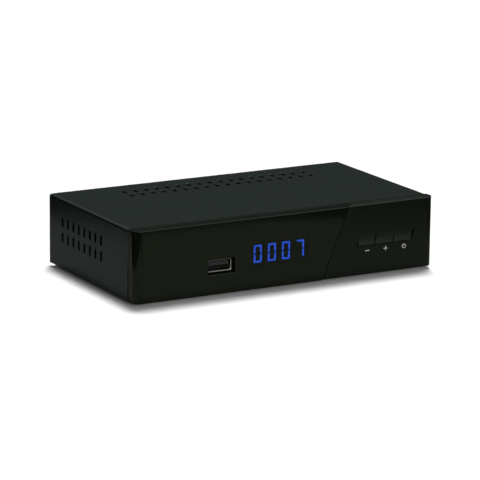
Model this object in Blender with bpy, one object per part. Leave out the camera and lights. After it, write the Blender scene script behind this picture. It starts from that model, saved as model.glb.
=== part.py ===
"""Terrestrial television receiver: a small set-top box in a folded sheet-steel case.

Frame: metres, +X to the right as seen from the front, +Y to the rear, +Z up. The origin lies
under the middle of the whole box, on the surface that its feet stand on.
"""

import math

import bmesh
import bpy
from mathutils import Matrix, Vector

MM = 0.001

# Fits and cuts shared by every piece
SEAT_GAP = 0.3 * MM
OVERRUN = 1.0 * MM
WELD = 0.0001 * MM
ROUND_STEPS = 4
TURN_STEPS = 20
SMALL_TURN_STEPS = 14
SHARP_ANGLE = math.radians(35)

# Case
CASE_WIDTH = 170.0 * MM
CASE_HEIGHT = 36.0 * MM
CASE_DEPTH = 88.0 * MM
SHEET = 0.8 * MM
BEND = 1.6 * MM
COVER_LIP = 6.0 * MM
TRAY_SIDE_FLANGE = 8.0 * MM
TRAY_CORNER_EAR = 7.0 * MM

# Vent slots
VENT_LENGTH = 5.3 * MM
VENT_WIDTH = 2.0 * MM
VENT_PITCH = 6.15 * MM
VENT_ROW_PITCH = 8.0 * MM
VENT_ROUND_SHARE = 0.49
VENT_ROUND_STEPS = 2
VENT_ROWS = 2
TOP_VENT_SHIFT = 2.0 * MM
TOP_VENT_SIDE_MARGIN = 31.0 * MM
TOP_VENT_BACK_MARGIN = 15.0 * MM
SIDE_VENT_START = 28.3 * MM
SIDE_VENT_BACK_MARGIN = 14.0 * MM
SIDE_VENT_DROP = 12.0 * MM
FLOOR_VENT_MARGIN = 58.0 * MM
FLOOR_VENT_FRONT = 40.0 * MM

# Front panel and its smoked window
PANEL_DEPTH = 6.2 * MM
PANEL_CORNER = 4.0 * MM
PANEL_LEDGE = 2.6 * MM
PANEL_FALL = 0.8 * MM
PANEL_EDGE = 0.6 * MM
PANEL_WALL = 2.0 * MM
WINDOW_PROUD = 0.4 * MM
WINDOW_WALL = 1.6 * MM
WINDOW_EDGE = 0.3 * MM
CARRIER_WALL = 1.5 * MM
WINDOW_END_SHARE = 0.11764706
SLANT_SHARE = 0.4
RAKE_SHARE = 0.87
TRAY_WINDOW_USB_MARGIN = 6.4 * MM
TRAY_WINDOW_BOARD_MARGIN = 0.5 * MM
TRAY_WINDOW_MARGIN = 3.0 * MM

# Key row in the plain end of the panel
KEY_COUNT = 3
KEY_NAMES = ("channel_down", "channel_up", "power")
KEY_ROW_END_MARGIN = 11.02 * MM
KEY_PITCH = 10.8 * MM
KEY_ROW_FLOOR = 14.8 * MM
KEY_HEIGHT = 5.7 * MM
KEY_CLEARANCE = 0.2 * MM
KEY_SCOOP = 1.5 * MM
KEY_FLUSH = 0.15 * MM
KEY_FLANGE = 0.8 * MM
KEY_FLANGE_LIP = 1.0 * MM
KEY_BAY_MARGIN = 3.0 * MM
KEY_TRAVEL = 0.5 * MM
SCOOP_STEPS = 6

# Push switches behind the keys
SWITCH_SIDE = 6.0 * MM
SWITCH_HEIGHT = 3.45 * MM
SWITCH_EDGE = 0.4 * MM
PLUNGER_RADIUS = 1.7 * MM
PLUNGER_REACH = 0.85 * MM
PLUNGER_DEPTH = 0.8 * MM

# Display behind the window
DISPLAY_SHARE = -0.025294118
DISPLAY_FLOOR = 12.85 * MM
DIGIT_COUNT = 4
DIGIT_HEIGHT = 8.9 * MM
DIGIT_WIDTH = 4.4 * MM
DIGIT_PITCH = 8.0 * MM
SEGMENT_WIDTH = 0.95 * MM
SEGMENT_GAP = 0.12 * MM
SEGMENT_RISE = 0.2 * MM
DISPLAY_RIM = 1.9 * MM
RECEIVER_EYE_MARGIN = 7.15 * MM
RECEIVER_EYE_HEIGHT = 17.0 * MM
RECEIVER_EYE_RADIUS = 2.4 * MM
RECEIVER_EYE_SIDE = 6.0 * MM
RECEIVER_EYE_DEPTH = 3.2 * MM

# Front board, carried by the panel
BOARD = 1.6 * MM
FRONT_BOARD_DISPLAY_MARGIN = 5.05 * MM
FRONT_BOARD_END_MARGIN = 10.5 * MM
FRONT_BOARD_MARGIN = 4.0 * MM
FRONT_BOSS_INSET = 4.0 * MM
FRONT_BOSS_RADIUS = 2.5 * MM

# Socket for a memory stick
USB_BOARD_MARGIN = 5.45 * MM
USB_HEIGHT = 13.8 * MM
USB_APERTURE_WIDTH = 15.1 * MM
USB_APERTURE_HEIGHT = 7.6 * MM
USB_APERTURE_ROUND = 0.5 * MM
USB_CHAMFER = 0.4 * MM
USB_SHELL_WIDTH = 13.2 * MM
USB_SHELL_HEIGHT = 5.9 * MM
USB_SHELL_LENGTH = 14.0 * MM
USB_SHELL_ROUND = 0.8 * MM
USB_SHELL_WALL = 0.4 * MM
USB_RECESS = 2.4 * MM
USB_TONGUE_RECESS = 1.0 * MM
USB_TONGUE_WIDTH = 11.1 * MM
USB_TONGUE_THICKNESS = 1.9 * MM
USB_TONGUE_DROP = 0.7 * MM
USB_BLOCK_LENGTH = 4.5 * MM

# Main board, on pressed posts in the tray
BOARD_SIDE_MARGIN = 3.5 * MM
BOARD_END_MARGIN = 1.5 * MM
POST_INSET = 6.0 * MM
POST_BACK_INSET = 19.0 * MM
POST_RADIUS = 2.8 * MM
POST_BORE_DEPTH = 5.5 * MM

# Screws
SCREW_RADIUS = 1.3 * MM
SCREW_HEAD_RADIUS = 2.6 * MM
SCREW_HEAD_HEIGHT = 1.7 * MM
SCREW_LENGTH = 5.0 * MM
PANEL_SCREW_LENGTH = 3.4 * MM
PANEL_SCREW_INSET = 7.0 * MM
PANEL_SCREW_HEIGHT = 20.0 * MM
COVER_SCREW_SIDE_INSET = 22.0 * MM
CROWN_SHARE = 0.55

# Rubber feet
FOOT_HEIGHT = 1.5 * MM
FOOT_RADIUS = 5.0 * MM
FOOT_EDGE = 0.4 * MM
FOOT_INSET = 14.0 * MM

# Aerial sockets and tuner
BARREL_REACH = 9.0 * MM
AERIAL_IN_SHARE = -0.359
AERIAL_OUT_SHARE = -0.241
AERIAL_HEIGHT = 7.4 * MM
AERIAL_IN_RADIUS = 5.3 * MM
AERIAL_IN_BORE = 4.8 * MM
AERIAL_OUT_RADIUS = 4.75 * MM
AERIAL_OUT_BORE = 4.1 * MM
AERIAL_FLANGE_RADIUS = 6.2 * MM
AERIAL_FLANGE = 1.4 * MM
AERIAL_FLOOR = 1.2 * MM
AERIAL_CONTACT_RADIUS = 2.1 * MM
AERIAL_CONTACT_BORE = 1.25 * MM
AERIAL_PIN_RADIUS = 1.2 * MM
AERIAL_TIP_RECESS = 1.0 * MM
BARREL_EDGE = 0.35 * MM
TUNER_WIDTH = 30.0 * MM
TUNER_LENGTH = 46.0 * MM
TUNER_HEIGHT = 13.0 * MM
TUNER_WALL = 0.6 * MM
TUNER_SKIRT = 2.5 * MM

# Picture and sound sockets
HDMI_SHARE = -0.118
HDMI_WIDTH = 15.0 * MM
HDMI_HEIGHT = 5.6 * MM
HDMI_LENGTH = 11.5 * MM
HDMI_WALL = 0.4 * MM
HDMI_CORNER_WIDTH = 2.2 * MM
HDMI_CORNER_HEIGHT = 2.0 * MM
HDMI_PROUD = 0.5 * MM
HDMI_TONGUE_WIDTH = 11.0 * MM
HDMI_TONGUE_THICKNESS = 1.5 * MM
HDMI_TONGUE_RECESS = 1.2 * MM
HDMI_BLOCK_LENGTH = 4.0 * MM
SCART_SHARE = 0.124
SCART_WIDTH = 48.0 * MM
SCART_HEIGHT = 17.0 * MM
SCART_LENGTH = 14.0 * MM
SCART_SHELL_WIDTH = 44.0 * MM
SCART_SHELL_HEIGHT = 13.0 * MM
SCART_SHELL_SKEW = 4.0 * MM
SCART_GROOVE = 1.6 * MM
SCART_DEPTH = 9.0 * MM
SCART_COLUMNS = 10
SCART_PITCH = 3.4 * MM
SCART_SLOT_WIDTH = 1.2 * MM
SCART_SLOT_HEIGHT = 3.2 * MM
SCART_STAGGER = 1.7 * MM
SCART_ROW_PITCH = 4.4 * MM
COAX_SHARE = 0.338
COAX_BODY_WIDTH = 10.0 * MM
COAX_BODY_HEIGHT = 12.5 * MM
COAX_BODY_LENGTH = 11.0 * MM
COAX_HEIGHT = 6.6 * MM
COAX_RADIUS = 4.15 * MM
COAX_WALL = 0.5 * MM
COAX_REACH = 8.0 * MM
COAX_BORE = 1.6 * MM
COAX_NOSE_RECESS = 0.8 * MM

# Power inlet
POWER_SHARE = 0.427
POWER_BODY_WIDTH = 9.0 * MM
POWER_BODY_HEIGHT = 11.0 * MM
POWER_BODY_LENGTH = 13.0 * MM
POWER_HEIGHT = 6.5 * MM
POWER_COLLAR_RADIUS = 4.0 * MM
POWER_BORE = 3.1 * MM
POWER_BORE_DEPTH = 9.0 * MM
POWER_PIN_RADIUS = 1.0 * MM
POWER_PIN_RECESS = 0.8 * MM
POWER_PIN_ROOT_RADIUS = 2.2 * MM
POWER_PIN_ROOT = 0.8 * MM

# Parts on the main board, placed as shares of the board
PROCESSOR_SHARES = (0.52, 0.44)
PROCESSOR_SIDE = 17.0 * MM
PROCESSOR_HEIGHT = 1.4 * MM
CHIP_EDGE = 0.3 * MM
SINK_SIDE = 22.0 * MM
SINK_BASE = 1.6 * MM
SINK_HEIGHT = 8.0 * MM
SINK_FINS = 7
SINK_FIN = 1.1 * MM
MEMORY_SHARES = (0.69, 0.44)
MEMORY_WIDTH = 9.0 * MM
MEMORY_LENGTH = 13.0 * MM
MEMORY_HEIGHT = 1.1 * MM
FLASH_SHARES = (0.69, 0.22)
FLASH_WIDTH = 5.2 * MM
FLASH_LENGTH = 4.0 * MM
FLASH_HEIGHT = 1.6 * MM
CRYSTAL_SHARES = (0.40, 0.24)
CRYSTAL_LENGTH = 11.0 * MM
CRYSTAL_WIDTH = 4.6 * MM
CRYSTAL_HEIGHT = 3.5 * MM
CAPACITOR_SHARES = ((0.94, 0.50), (0.86, 0.50), (0.94, 0.32))
CAPACITOR_RADIUS = 4.0 * MM
CAPACITOR_HEIGHT = 11.0 * MM
CAPACITOR_GROOVE = 0.4 * MM
CAPACITOR_NECK = 1.6 * MM
COIL_SHARES = (0.86, 0.28)
COIL_SIDE = 7.0 * MM
COIL_HEIGHT = 4.0 * MM

# Ribbon cable between the two boards
RIBBON_X = 12.0 * MM
RIBBON_WIDTH = 12.0 * MM
RIBBON_THICKNESS = 0.9 * MM
RIBBON_BEND = 8.0 * MM
RIBBON_STEPS = 8
HEADER_WIDTH = 15.0 * MM
HEADER_DEPTH = 4.5 * MM
HEADER_HEIGHT = 5.0 * MM
HEADER_ROUND = 0.4 * MM

# Places that follow from the sizes above
OVERALL_DEPTH = WINDOW_PROUD + PANEL_DEPTH + CASE_DEPTH + BARREL_REACH
WINDOW_Y = -OVERALL_DEPTH / 2
PANEL_Y = WINDOW_Y + WINDOW_PROUD
SEAM_Y = PANEL_Y + PANEL_DEPTH
BACK_Y = SEAM_Y + CASE_DEPTH
HALF_WIDTH = CASE_WIDTH / 2
BASE_Z = FOOT_HEIGHT
TOP_Z = BASE_Z + CASE_HEIGHT
TRAY_HALF = HALF_WIDTH - SHEET - SEAT_GAP
TRAY_FRONT = SEAM_Y + SEAT_GAP
TRAY_BACK = BACK_Y - SHEET - SEAT_GAP
TRAY_TOP = TOP_Z - SHEET - SEAT_GAP
FLOOR_Z = BASE_Z + SHEET
SCREW_BORE = SCREW_RADIUS + SEAT_GAP
WINDOW_END = WINDOW_END_SHARE * CASE_WIDTH
WINDOW_REAR = SEAM_Y - PANEL_LEDGE
CARRIER_INSET = WINDOW_WALL + SEAT_GAP
CARRIER_FACE = WINDOW_Y + CARRIER_INSET
CAVITY_INSET = CARRIER_INSET + CARRIER_WALL
KEY_FLANGE_FACE = PANEL_Y + PANEL_WALL + SEAT_GAP
PLUNGER_FACE = KEY_FLANGE_FACE + KEY_FLANGE + SEAT_GAP
SWITCH_FACE = PLUNGER_FACE + PLUNGER_REACH
SWITCH_POCKET = PLUNGER_DEPTH + KEY_TRAVEL + SEAT_GAP
FRONT_BOARD_FACE = SWITCH_FACE + SWITCH_HEIGHT + SEAT_GAP
FRONT_BOARD_BACK = FRONT_BOARD_FACE + BOARD
KEY_FLOOR_Z = BASE_Z + KEY_ROW_FLOOR
KEY_TOP_Z = KEY_FLOOR_Z + KEY_HEIGHT
KEY_MIDDLE_Z = (KEY_FLOOR_Z + KEY_TOP_Z) / 2
KEY_LEAN = SLANT_SHARE * KEY_HEIGHT
KEY_ROW_START = HALF_WIDTH - KEY_ROW_END_MARGIN - KEY_LEAN - KEY_COUNT * KEY_PITCH
DISPLAY_X = DISPLAY_SHARE * CASE_WIDTH
DISPLAY_WIDTH = DIGIT_PITCH * (DIGIT_COUNT - 1) + DIGIT_WIDTH + 2 * DISPLAY_RIM
DISPLAY_HEIGHT = DIGIT_HEIGHT + 2 * DISPLAY_RIM
DISPLAY_Z = BASE_Z + DISPLAY_FLOOR + DIGIT_HEIGHT / 2
RECEIVER_EYE_X = DISPLAY_X + DISPLAY_WIDTH / 2 + RECEIVER_EYE_MARGIN
FRONT_BOARD_LEFT = DISPLAY_X - DISPLAY_WIDTH / 2 - FRONT_BOARD_DISPLAY_MARGIN
FRONT_BOARD_RIGHT = HALF_WIDTH - FRONT_BOARD_END_MARGIN
USB_X = FRONT_BOARD_LEFT - USB_BOARD_MARGIN - USB_SHELL_WIDTH / 2
USB_Z = BASE_Z + USB_HEIGHT
USB_MOUTH = WINDOW_Y + USB_RECESS
BOARD_TOP = USB_Z - USB_SHELL_HEIGHT / 2 - SEAT_GAP
BOARD_BOTTOM = BOARD_TOP - BOARD
BOARD_HALF = TRAY_HALF - SHEET - BOARD_SIDE_MARGIN
BOARD_FRONT = FRONT_BOARD_BACK + BOARD_END_MARGIN
BOARD_BACK = TRAY_BACK - SHEET - BOARD_END_MARGIN
PART_Z = BOARD_TOP + SEAT_GAP
POST_TOP = BOARD_BOTTOM - SEAT_GAP
AERIAL_IN_X = AERIAL_IN_SHARE * CASE_WIDTH
AERIAL_OUT_X = AERIAL_OUT_SHARE * CASE_WIDTH
AERIAL_Z = PART_Z + AERIAL_HEIGHT
TUNER_X = (AERIAL_IN_X + AERIAL_OUT_X) / 2
AERIAL_ROOT = TRAY_BACK - SHEET - SEAT_GAP - AERIAL_FLANGE
TUNER_BACK = AERIAL_ROOT - SEAT_GAP
AERIAL_TIP = BACK_Y + BARREL_REACH
HDMI_X = HDMI_SHARE * CASE_WIDTH
HDMI_Z = PART_Z + HDMI_HEIGHT / 2
SCART_X = SCART_SHARE * CASE_WIDTH
SCART_Z = PART_Z + SCART_HEIGHT / 2
COAX_X = COAX_SHARE * CASE_WIDTH
COAX_Z = PART_Z + COAX_HEIGHT
COAX_FACE = TRAY_BACK - SHEET - SEAT_GAP
POWER_X = POWER_SHARE * CASE_WIDTH
POWER_Z = PART_Z + POWER_HEIGHT
HEADER_Y = FRONT_BOARD_BACK + SEAT_GAP + HEADER_HEIGHT + SEAT_GAP + RIBBON_BEND
RIBBON_END_Z = PART_Z + HEADER_HEIGHT + SEAT_GAP
FRONT_HEADER_Z = RIBBON_END_Z + RIBBON_BEND

UP = Matrix.Identity(4)
TO_REAR = Matrix.Rotation(-math.pi / 2, 4, "X")
TO_FRONT = Matrix.Rotation(math.pi / 2, 4, "X")


# Outlines

def arc_points(centre, start, end, steps):
    """Points from one spoke to another round a centre, the shorter way."""
    first = math.atan2(start[1] - centre[1], start[0] - centre[0])
    last = math.atan2(end[1] - centre[1], end[0] - centre[0])
    turn = (last - first + math.pi) % (2 * math.pi) - math.pi
    radius = math.dist(centre, start)
    angles = [first + turn * step / steps for step in range(steps + 1)]
    return [(centre[0] + radius * math.cos(a), centre[1] + radius * math.sin(a)) for a in angles]


def filleted(corners, radii, steps=ROUND_STEPS):
    """An outline through these corners, with an arc of its own radius at each."""
    outline = []
    for index, (corner, radius) in enumerate(zip(corners, radii)):
        if radius <= 0:
            outline.append(corner)
            continue
        here = Vector(corner)
        before = (Vector(corners[index - 1]) - here).normalized()
        after = (Vector(corners[(index + 1) % len(corners)]) - here).normalized()
        half = before.angle(after) / 2
        centre = here + (before + after).normalized() * (radius / math.sin(half))
        reach = radius / math.tan(half)
        outline += arc_points(centre, here + before * reach, here + after * reach, steps)
    return outline


def rectangle(centre, width, height, radius=0, steps=ROUND_STEPS):
    """A rectangle about its centre, with one radius at its four corners."""
    x, z = centre
    corners = [
        (x - width / 2, z - height / 2),
        (x + width / 2, z - height / 2),
        (x + width / 2, z + height / 2),
        (x - width / 2, z + height / 2),
    ]
    return filleted(corners, [radius] * len(corners), steps)


def circle(centre, radius, steps=TURN_STEPS):
    """A circle as an outline."""
    angles = [2 * math.pi * step / steps for step in range(steps)]
    return [(centre[0] + radius * math.cos(a), centre[1] + radius * math.sin(a)) for a in angles]


def slanted(left, width, floor, ceiling):
    """A parallelogram whose ends lean with the window's seam; left is at its floor's level."""
    lean = SLANT_SHARE * (ceiling - floor)
    return [
        (left, floor),
        (left + width, floor),
        (left + width + lean, ceiling),
        (left + lean, ceiling),
    ]


# Solids

def linked(name, mesh):
    """Turns a bmesh into an object of the scene."""
    data = bpy.data.meshes.new(name)
    bmesh.ops.recalc_face_normals(mesh, faces=mesh.faces)
    mesh.to_mesh(data)
    mesh.free()
    thing = bpy.data.objects.new(name, data)
    bpy.context.scene.collection.objects.link(thing)
    return thing


def spot(axis, place, point):
    """The 3-D point at a place along an axis; point lies across it, in X, Y, Z order."""
    first, second = point
    return {
        "X": (place, first, second),
        "Y": (first, place, second),
        "Z": (first, second, place),
    }[axis]


def loft(name, axis, sections):
    """A closed solid through outlines of one count, each at its place along the axis."""
    mesh = bmesh.new()
    rings = [
        [mesh.verts.new(spot(axis, place, point)) for point in outline]
        for place, outline in sections
    ]
    mesh.faces.new(rings[0])
    mesh.faces.new(rings[-1])
    for lower, upper in zip(rings, rings[1:]):
        for index, corner in enumerate(lower):
            after = (index + 1) % len(lower)
            mesh.faces.new((corner, lower[after], upper[after], upper[index]))
    return linked(name, mesh)


def prism(name, axis, low, high, outline):
    """An outline drawn out along an axis."""
    return loft(name, axis, [(low, outline), (high, outline)])


def block(name, low, high):
    """A plain box between two corners."""
    outline = [(low[0], low[1]), (high[0], low[1]), (high[0], high[1]), (low[0], high[1])]
    return prism(name, "Z", low[2], high[2], outline)


def turned(name, profile, steps=TURN_STEPS):
    """A solid of revolution about its own +Z, from (radius, height) points."""
    mesh = bmesh.new()
    points = [mesh.verts.new((radius, 0, height)) for radius, height in profile]
    edges = [mesh.edges.new(pair) for pair in zip(points, points[1:])]
    if profile[0][0] > 0:
        edges.append(mesh.edges.new((points[-1], points[0])))
    bmesh.ops.spin(
        mesh, geom=points + edges, cent=(0, 0, 0), axis=(0, 0, 1),
        angle=2 * math.pi, steps=steps, use_merge=True,
    )
    bmesh.ops.remove_doubles(mesh, verts=mesh.verts, dist=WELD)
    return linked(name, mesh)


def gathered(name, things):
    """Several loose solids as one object, for use as a cutter."""
    mesh = bmesh.new()
    for thing in things:
        thing.data.transform(thing.matrix_basis)
        mesh.from_mesh(thing.data)
        bpy.data.meshes.remove(thing.data)
    return linked(name, mesh)


def combine(target, tool, operation):
    """Applies one Boolean with a tool solid, and removes the tool."""
    tool.hide_render = True
    tool.display_type = "WIRE"
    step = target.modifiers.new(operation.lower(), "BOOLEAN")
    step.operation = operation
    step.solver = "EXACT"
    step.object = tool
    bpy.context.view_layer.update()
    graph = bpy.context.evaluated_depsgraph_get()
    result = bpy.data.meshes.new_from_object(target.evaluated_get(graph))
    target.modifiers.clear()
    before = target.data
    target.data = result
    bpy.data.meshes.remove(before)
    bpy.data.meshes.remove(tool.data)


def carve(target, *tools):
    for tool in tools:
        combine(target, tool, "DIFFERENCE")


def fuse(target, *tools):
    for tool in tools:
        combine(target, tool, "UNION")


def trim(target, *tools):
    for tool in tools:
        combine(target, tool, "INTERSECT")


def place(thing, position, pointing=UP):
    """Puts a solid that was made about its own origin where it belongs."""
    thing.matrix_basis = Matrix.Translation(Vector(position)) @ pointing


def set_origin(thing, position):
    """Moves the object's origin and leaves its solid where it is."""
    offset = Vector(position)
    thing.data.transform(Matrix.Translation(-offset))
    thing.location = offset


def copy_of(thing, name, position, pointing=UP):
    """Another piece from the same mesh."""
    twin = bpy.data.objects.new(name, thing.data)
    bpy.context.scene.collection.objects.link(twin)
    place(twin, position, pointing)
    return twin


# Finishes

def finish(name, colour, roughness, metallic=0.0):
    """A Principled material from an sRGB hex colour."""
    material = bpy.data.materials.new(name)
    material.use_nodes = True
    shader = material.node_tree.nodes["Principled BSDF"]
    channels = [int(colour[index:index + 2], 16) / 255 for index in (1, 3, 5)]
    linear = [c / 12.92 if c <= 0.04045 else ((c + 0.055) / 1.055) ** 2.4 for c in channels]
    shader.inputs["Base Color"].default_value = (*linear, 1.0)
    shader.inputs["Roughness"].default_value = roughness
    shader.inputs["Metallic"].default_value = metallic
    material.diffuse_color = (*linear, 1.0)
    return material


def dressed(thing, material):
    """Gives a finished piece its material, and smooth shading between its sharp edges."""
    mesh = thing.data
    mesh.materials.clear()
    mesh.materials.append(material)
    mesh.shade_smooth()
    mesh.set_sharp_from_angle(angle=SHARP_ANGLE)
    return thing


# Case

def vent(name, axis, low, high, centre):
    """One round-ended slot as a cutter; its long way is the second cross axis."""
    radius = VENT_ROUND_SHARE * VENT_WIDTH
    outline = rectangle(centre, VENT_WIDTH, VENT_LENGTH, radius, VENT_ROUND_STEPS)
    return prism(name, axis, low, high, outline)


def spaced(low, high, pitch):
    """Places at one pitch, as many as fit between two ends, and centred there."""
    count = max(1, int((high - low) / pitch) + 1)
    start = (low + high) / 2 - pitch * (count - 1) / 2
    return [start + pitch * index for index in range(count)]


def cover_vents():
    """Two rows across the rear of the top, and two along each side."""
    reach = HALF_WIDTH - TOP_VENT_SIDE_MARGIN
    cutters = []
    for row in range(VENT_ROWS):
        y = BACK_Y - TOP_VENT_BACK_MARGIN - row * VENT_ROW_PITCH
        for x in spaced(TOP_VENT_SHIFT - reach, TOP_VENT_SHIFT + reach, VENT_PITCH):
            low, high = TOP_Z - SHEET - OVERRUN, TOP_Z + OVERRUN
            cutters.append(vent("top_vent", "Z", low, high, (x, y)))
        z = TOP_Z - SIDE_VENT_DROP - row * VENT_ROW_PITCH
        start = SEAM_Y + SIDE_VENT_START
        count = int((BACK_Y - SIDE_VENT_BACK_MARGIN - start) / VENT_PITCH) + 1
        for index in range(count):
            y = start + VENT_PITCH * index
            reach_out = HALF_WIDTH + OVERRUN
            cutters.append(vent("side_vent", "X", -reach_out, reach_out, (y, z)))
    return gathered("cover_vents", cutters)


def cover_section(inset, floor):
    """The cover across its width: two sides and a top with bent corners."""
    side, top = HALF_WIDTH - inset, TOP_Z - inset
    corners = [(-side, floor), (side, floor), (side, top), (-side, top)]
    return filleted(corners, [0, 0, BEND - inset, BEND - inset])


def cover_screw_places():
    """Where the screws go through the cover's rear lip."""
    reach = HALF_WIDTH - COVER_SCREW_SIDE_INSET
    return [(x, TOP_Z - (COVER_LIP + SHEET) / 2) for x in (-reach, 0, reach)]


def top_cover(material):
    """Folded cover: top, two sides and a short lip that turns down over the rear wall."""
    front = SEAM_Y + SEAT_GAP
    cover = prism("top_cover", "Y", front, BACK_Y, cover_section(0, BASE_Z))
    profile = [
        (front - OVERRUN, BASE_Z - OVERRUN),
        (BACK_Y, BASE_Z - OVERRUN),
        (BACK_Y, TOP_Z),
        (front - OVERRUN, TOP_Z),
    ]
    wide = HALF_WIDTH + OVERRUN
    trim(cover, prism("outer_side", "X", -wide, wide, filleted(profile, [0, 0, BEND, 0])))

    inner = prism(
        "inner", "Y", front - OVERRUN, BACK_Y + OVERRUN, cover_section(SHEET, BASE_Z - OVERRUN)
    )
    hollow = [
        (front - OVERRUN, BASE_Z - OVERRUN),
        (BACK_Y + OVERRUN, BASE_Z - OVERRUN),
        (BACK_Y + OVERRUN, TOP_Z - COVER_LIP),
        (BACK_Y - SHEET, TOP_Z - COVER_LIP),
        (BACK_Y - SHEET, TOP_Z - SHEET),
        (front - OVERRUN, TOP_Z - SHEET),
    ]
    rounds = [0, 0, 0, 0, BEND - SHEET, 0]
    trim(inner, prism("inner_side", "X", -wide, wide, filleted(hollow, rounds)))
    carve(cover, inner, cover_vents())
    holes = [
        prism("hole", "Y", TRAY_BACK, BACK_Y + OVERRUN, circle(at, SCREW_BORE, SMALL_TURN_STEPS))
        for at in cover_screw_places()
    ]
    carve(cover, gathered("lip_holes", holes))
    return dressed(cover, material)


def tray_section(inset, floor, top):
    """The tray across its width, with bent lower corners."""
    side = TRAY_HALF - inset
    corners = [(-side, floor), (side, floor), (side, top), (-side, top)]
    return filleted(corners, [BEND - inset, BEND - inset, 0, 0])


def tray_profile(inset, floor, top):
    """The tray from front to rear, with bent lower corners."""
    corners = [
        (TRAY_FRONT + inset, floor),
        (TRAY_BACK - inset, floor),
        (TRAY_BACK - inset, top),
        (TRAY_FRONT + inset, top),
    ]
    return filleted(corners, [BEND - inset, BEND - inset, 0, 0])


def post_places():
    """The four posts under the corners of the main board."""
    x = BOARD_HALF - POST_INSET
    front, back = BOARD_FRONT + POST_INSET, BOARD_BACK - POST_BACK_INSET
    return {
        "front_left": (-x, front),
        "front_right": (x, front),
        "rear_left": (-x, back),
        "rear_right": (x, back),
    }


def panel_screw_places():
    """One screw at each end of the tray's front wall."""
    x = HALF_WIDTH - PANEL_SCREW_INSET
    z = BASE_Z + PANEL_SCREW_HEIGHT
    return {"left": (-x, z), "right": (x, z)}


def rear_cutouts():
    """The openings of the rear wall, one for each socket, each with the seat gap all round."""
    low, high = TRAY_BACK - SHEET - OVERRUN, TRAY_BACK + OVERRUN
    scart = rectangle(
        (SCART_X, SCART_Z), SCART_WIDTH + 2 * SEAT_GAP, SCART_HEIGHT + 2 * SEAT_GAP
    )
    outlines = [
        circle((AERIAL_IN_X, AERIAL_Z), AERIAL_IN_RADIUS + SEAT_GAP),
        circle((AERIAL_OUT_X, AERIAL_Z), AERIAL_OUT_RADIUS + SEAT_GAP),
        hdmi_outline(-SEAT_GAP),
        scart,
        circle((COAX_X, COAX_Z), COAX_RADIUS + SEAT_GAP),
        circle((POWER_X, POWER_Z), POWER_COLLAR_RADIUS + SEAT_GAP),
    ]
    outlines += [circle(at, SCREW_BORE, SMALL_TURN_STEPS) for at in cover_screw_places()]
    return gathered("rear_cutouts", [prism("cut", "Y", low, high, o) for o in outlines])


def front_cutouts():
    """The tray's front window, which the panel's board and sockets pass, and two screw holes."""
    low, high = TRAY_FRONT - OVERRUN, TRAY_FRONT + SHEET + OVERRUN
    left = USB_X - USB_SHELL_WIDTH / 2 - TRAY_WINDOW_USB_MARGIN
    right = FRONT_BOARD_RIGHT + TRAY_WINDOW_BOARD_MARGIN
    floor, ceiling = FLOOR_Z + TRAY_WINDOW_MARGIN, TRAY_TOP - TRAY_WINDOW_MARGIN
    middle = ((left + right) / 2, (floor + ceiling) / 2)
    opening = rectangle(middle, right - left, ceiling - floor, BEND)
    holes = [circle(at, SCREW_BORE, SMALL_TURN_STEPS) for at in panel_screw_places().values()]
    return gathered("front_cutouts", [prism("cut", "Y", low, high, o) for o in [opening, *holes]])


def base_tray(material):
    """Folded tray: floor, front frame, rear wall, low sides, and posts for the main board."""
    tall = TRAY_TOP + OVERRUN
    tray = prism("base_tray", "Y", TRAY_FRONT, TRAY_BACK, tray_section(0, BASE_Z, TRAY_TOP))
    wide = HALF_WIDTH + OVERRUN
    trim(tray, prism("outer_side", "X", -wide, wide, tray_profile(0, BASE_Z, tall)))
    inner = prism(
        "inner", "Y", TRAY_FRONT, TRAY_BACK, tray_section(SHEET, FLOOR_Z, tall)
    )
    trim(inner, prism("inner_side", "X", -wide, wide, tray_profile(SHEET, FLOOR_Z, tall + SHEET)))
    carve(tray, inner)

    ear = TRAY_CORNER_EAR
    sides = [
        (TRAY_FRONT + ear, BASE_Z + TRAY_SIDE_FLANGE),
        (TRAY_BACK - ear, BASE_Z + TRAY_SIDE_FLANGE),
        (TRAY_BACK - ear, tall),
        (TRAY_FRONT + ear, tall),
    ]
    carve(tray, prism("low_sides", "X", -wide, wide, filleted(sides, [BEND, BEND, 0, 0])))
    carve(tray, rear_cutouts(), front_cutouts())

    reach = HALF_WIDTH - FLOOR_VENT_MARGIN
    slots = [
        vent("floor_vent", "Z", BASE_Z - OVERRUN, FLOOR_Z + OVERRUN, (x, y))
        for x in spaced(-reach, reach, VENT_PITCH)
        for y in (SEAM_Y + FLOOR_VENT_FRONT, SEAM_Y + FLOOR_VENT_FRONT + VENT_ROW_PITCH)
    ]
    carve(tray, gathered("floor_vents", slots))

    posts, bores = [], []
    for x, y in post_places().values():
        ring, bore = circle((x, y), POST_RADIUS), circle((x, y), SCREW_BORE, SMALL_TURN_STEPS)
        posts.append(prism("post", "Z", BASE_Z + SHEET / 2, POST_TOP, ring))
        bores.append(prism("bore", "Z", POST_TOP - POST_BORE_DEPTH, POST_TOP + OVERRUN, bore))
    fuse(tray, gathered("posts", posts))
    carve(tray, gathered("post_bores", bores))
    return dressed(tray, material)


def rubber_feet(material):
    """Four stick-on feet under the corners of the tray."""
    top = FOOT_HEIGHT - SEAT_GAP
    profile = [
        (0, 0),
        (FOOT_RADIUS - FOOT_EDGE, 0),
        (FOOT_RADIUS, FOOT_EDGE),
        (FOOT_RADIUS, top),
        (0, top),
    ]
    x = HALF_WIDTH - FOOT_INSET
    front, back = SEAM_Y + FOOT_INSET, BACK_Y - FOOT_INSET
    first = turned("rubber_foot_front_left", profile)
    place(first, (-x, front, 0))
    dressed(first, material)
    copy_of(first, "rubber_foot_front_right", (x, front, 0))
    copy_of(first, "rubber_foot_rear_left", (-x, back, 0))
    copy_of(first, "rubber_foot_rear_right", (x, back, 0))


# Screws

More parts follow.
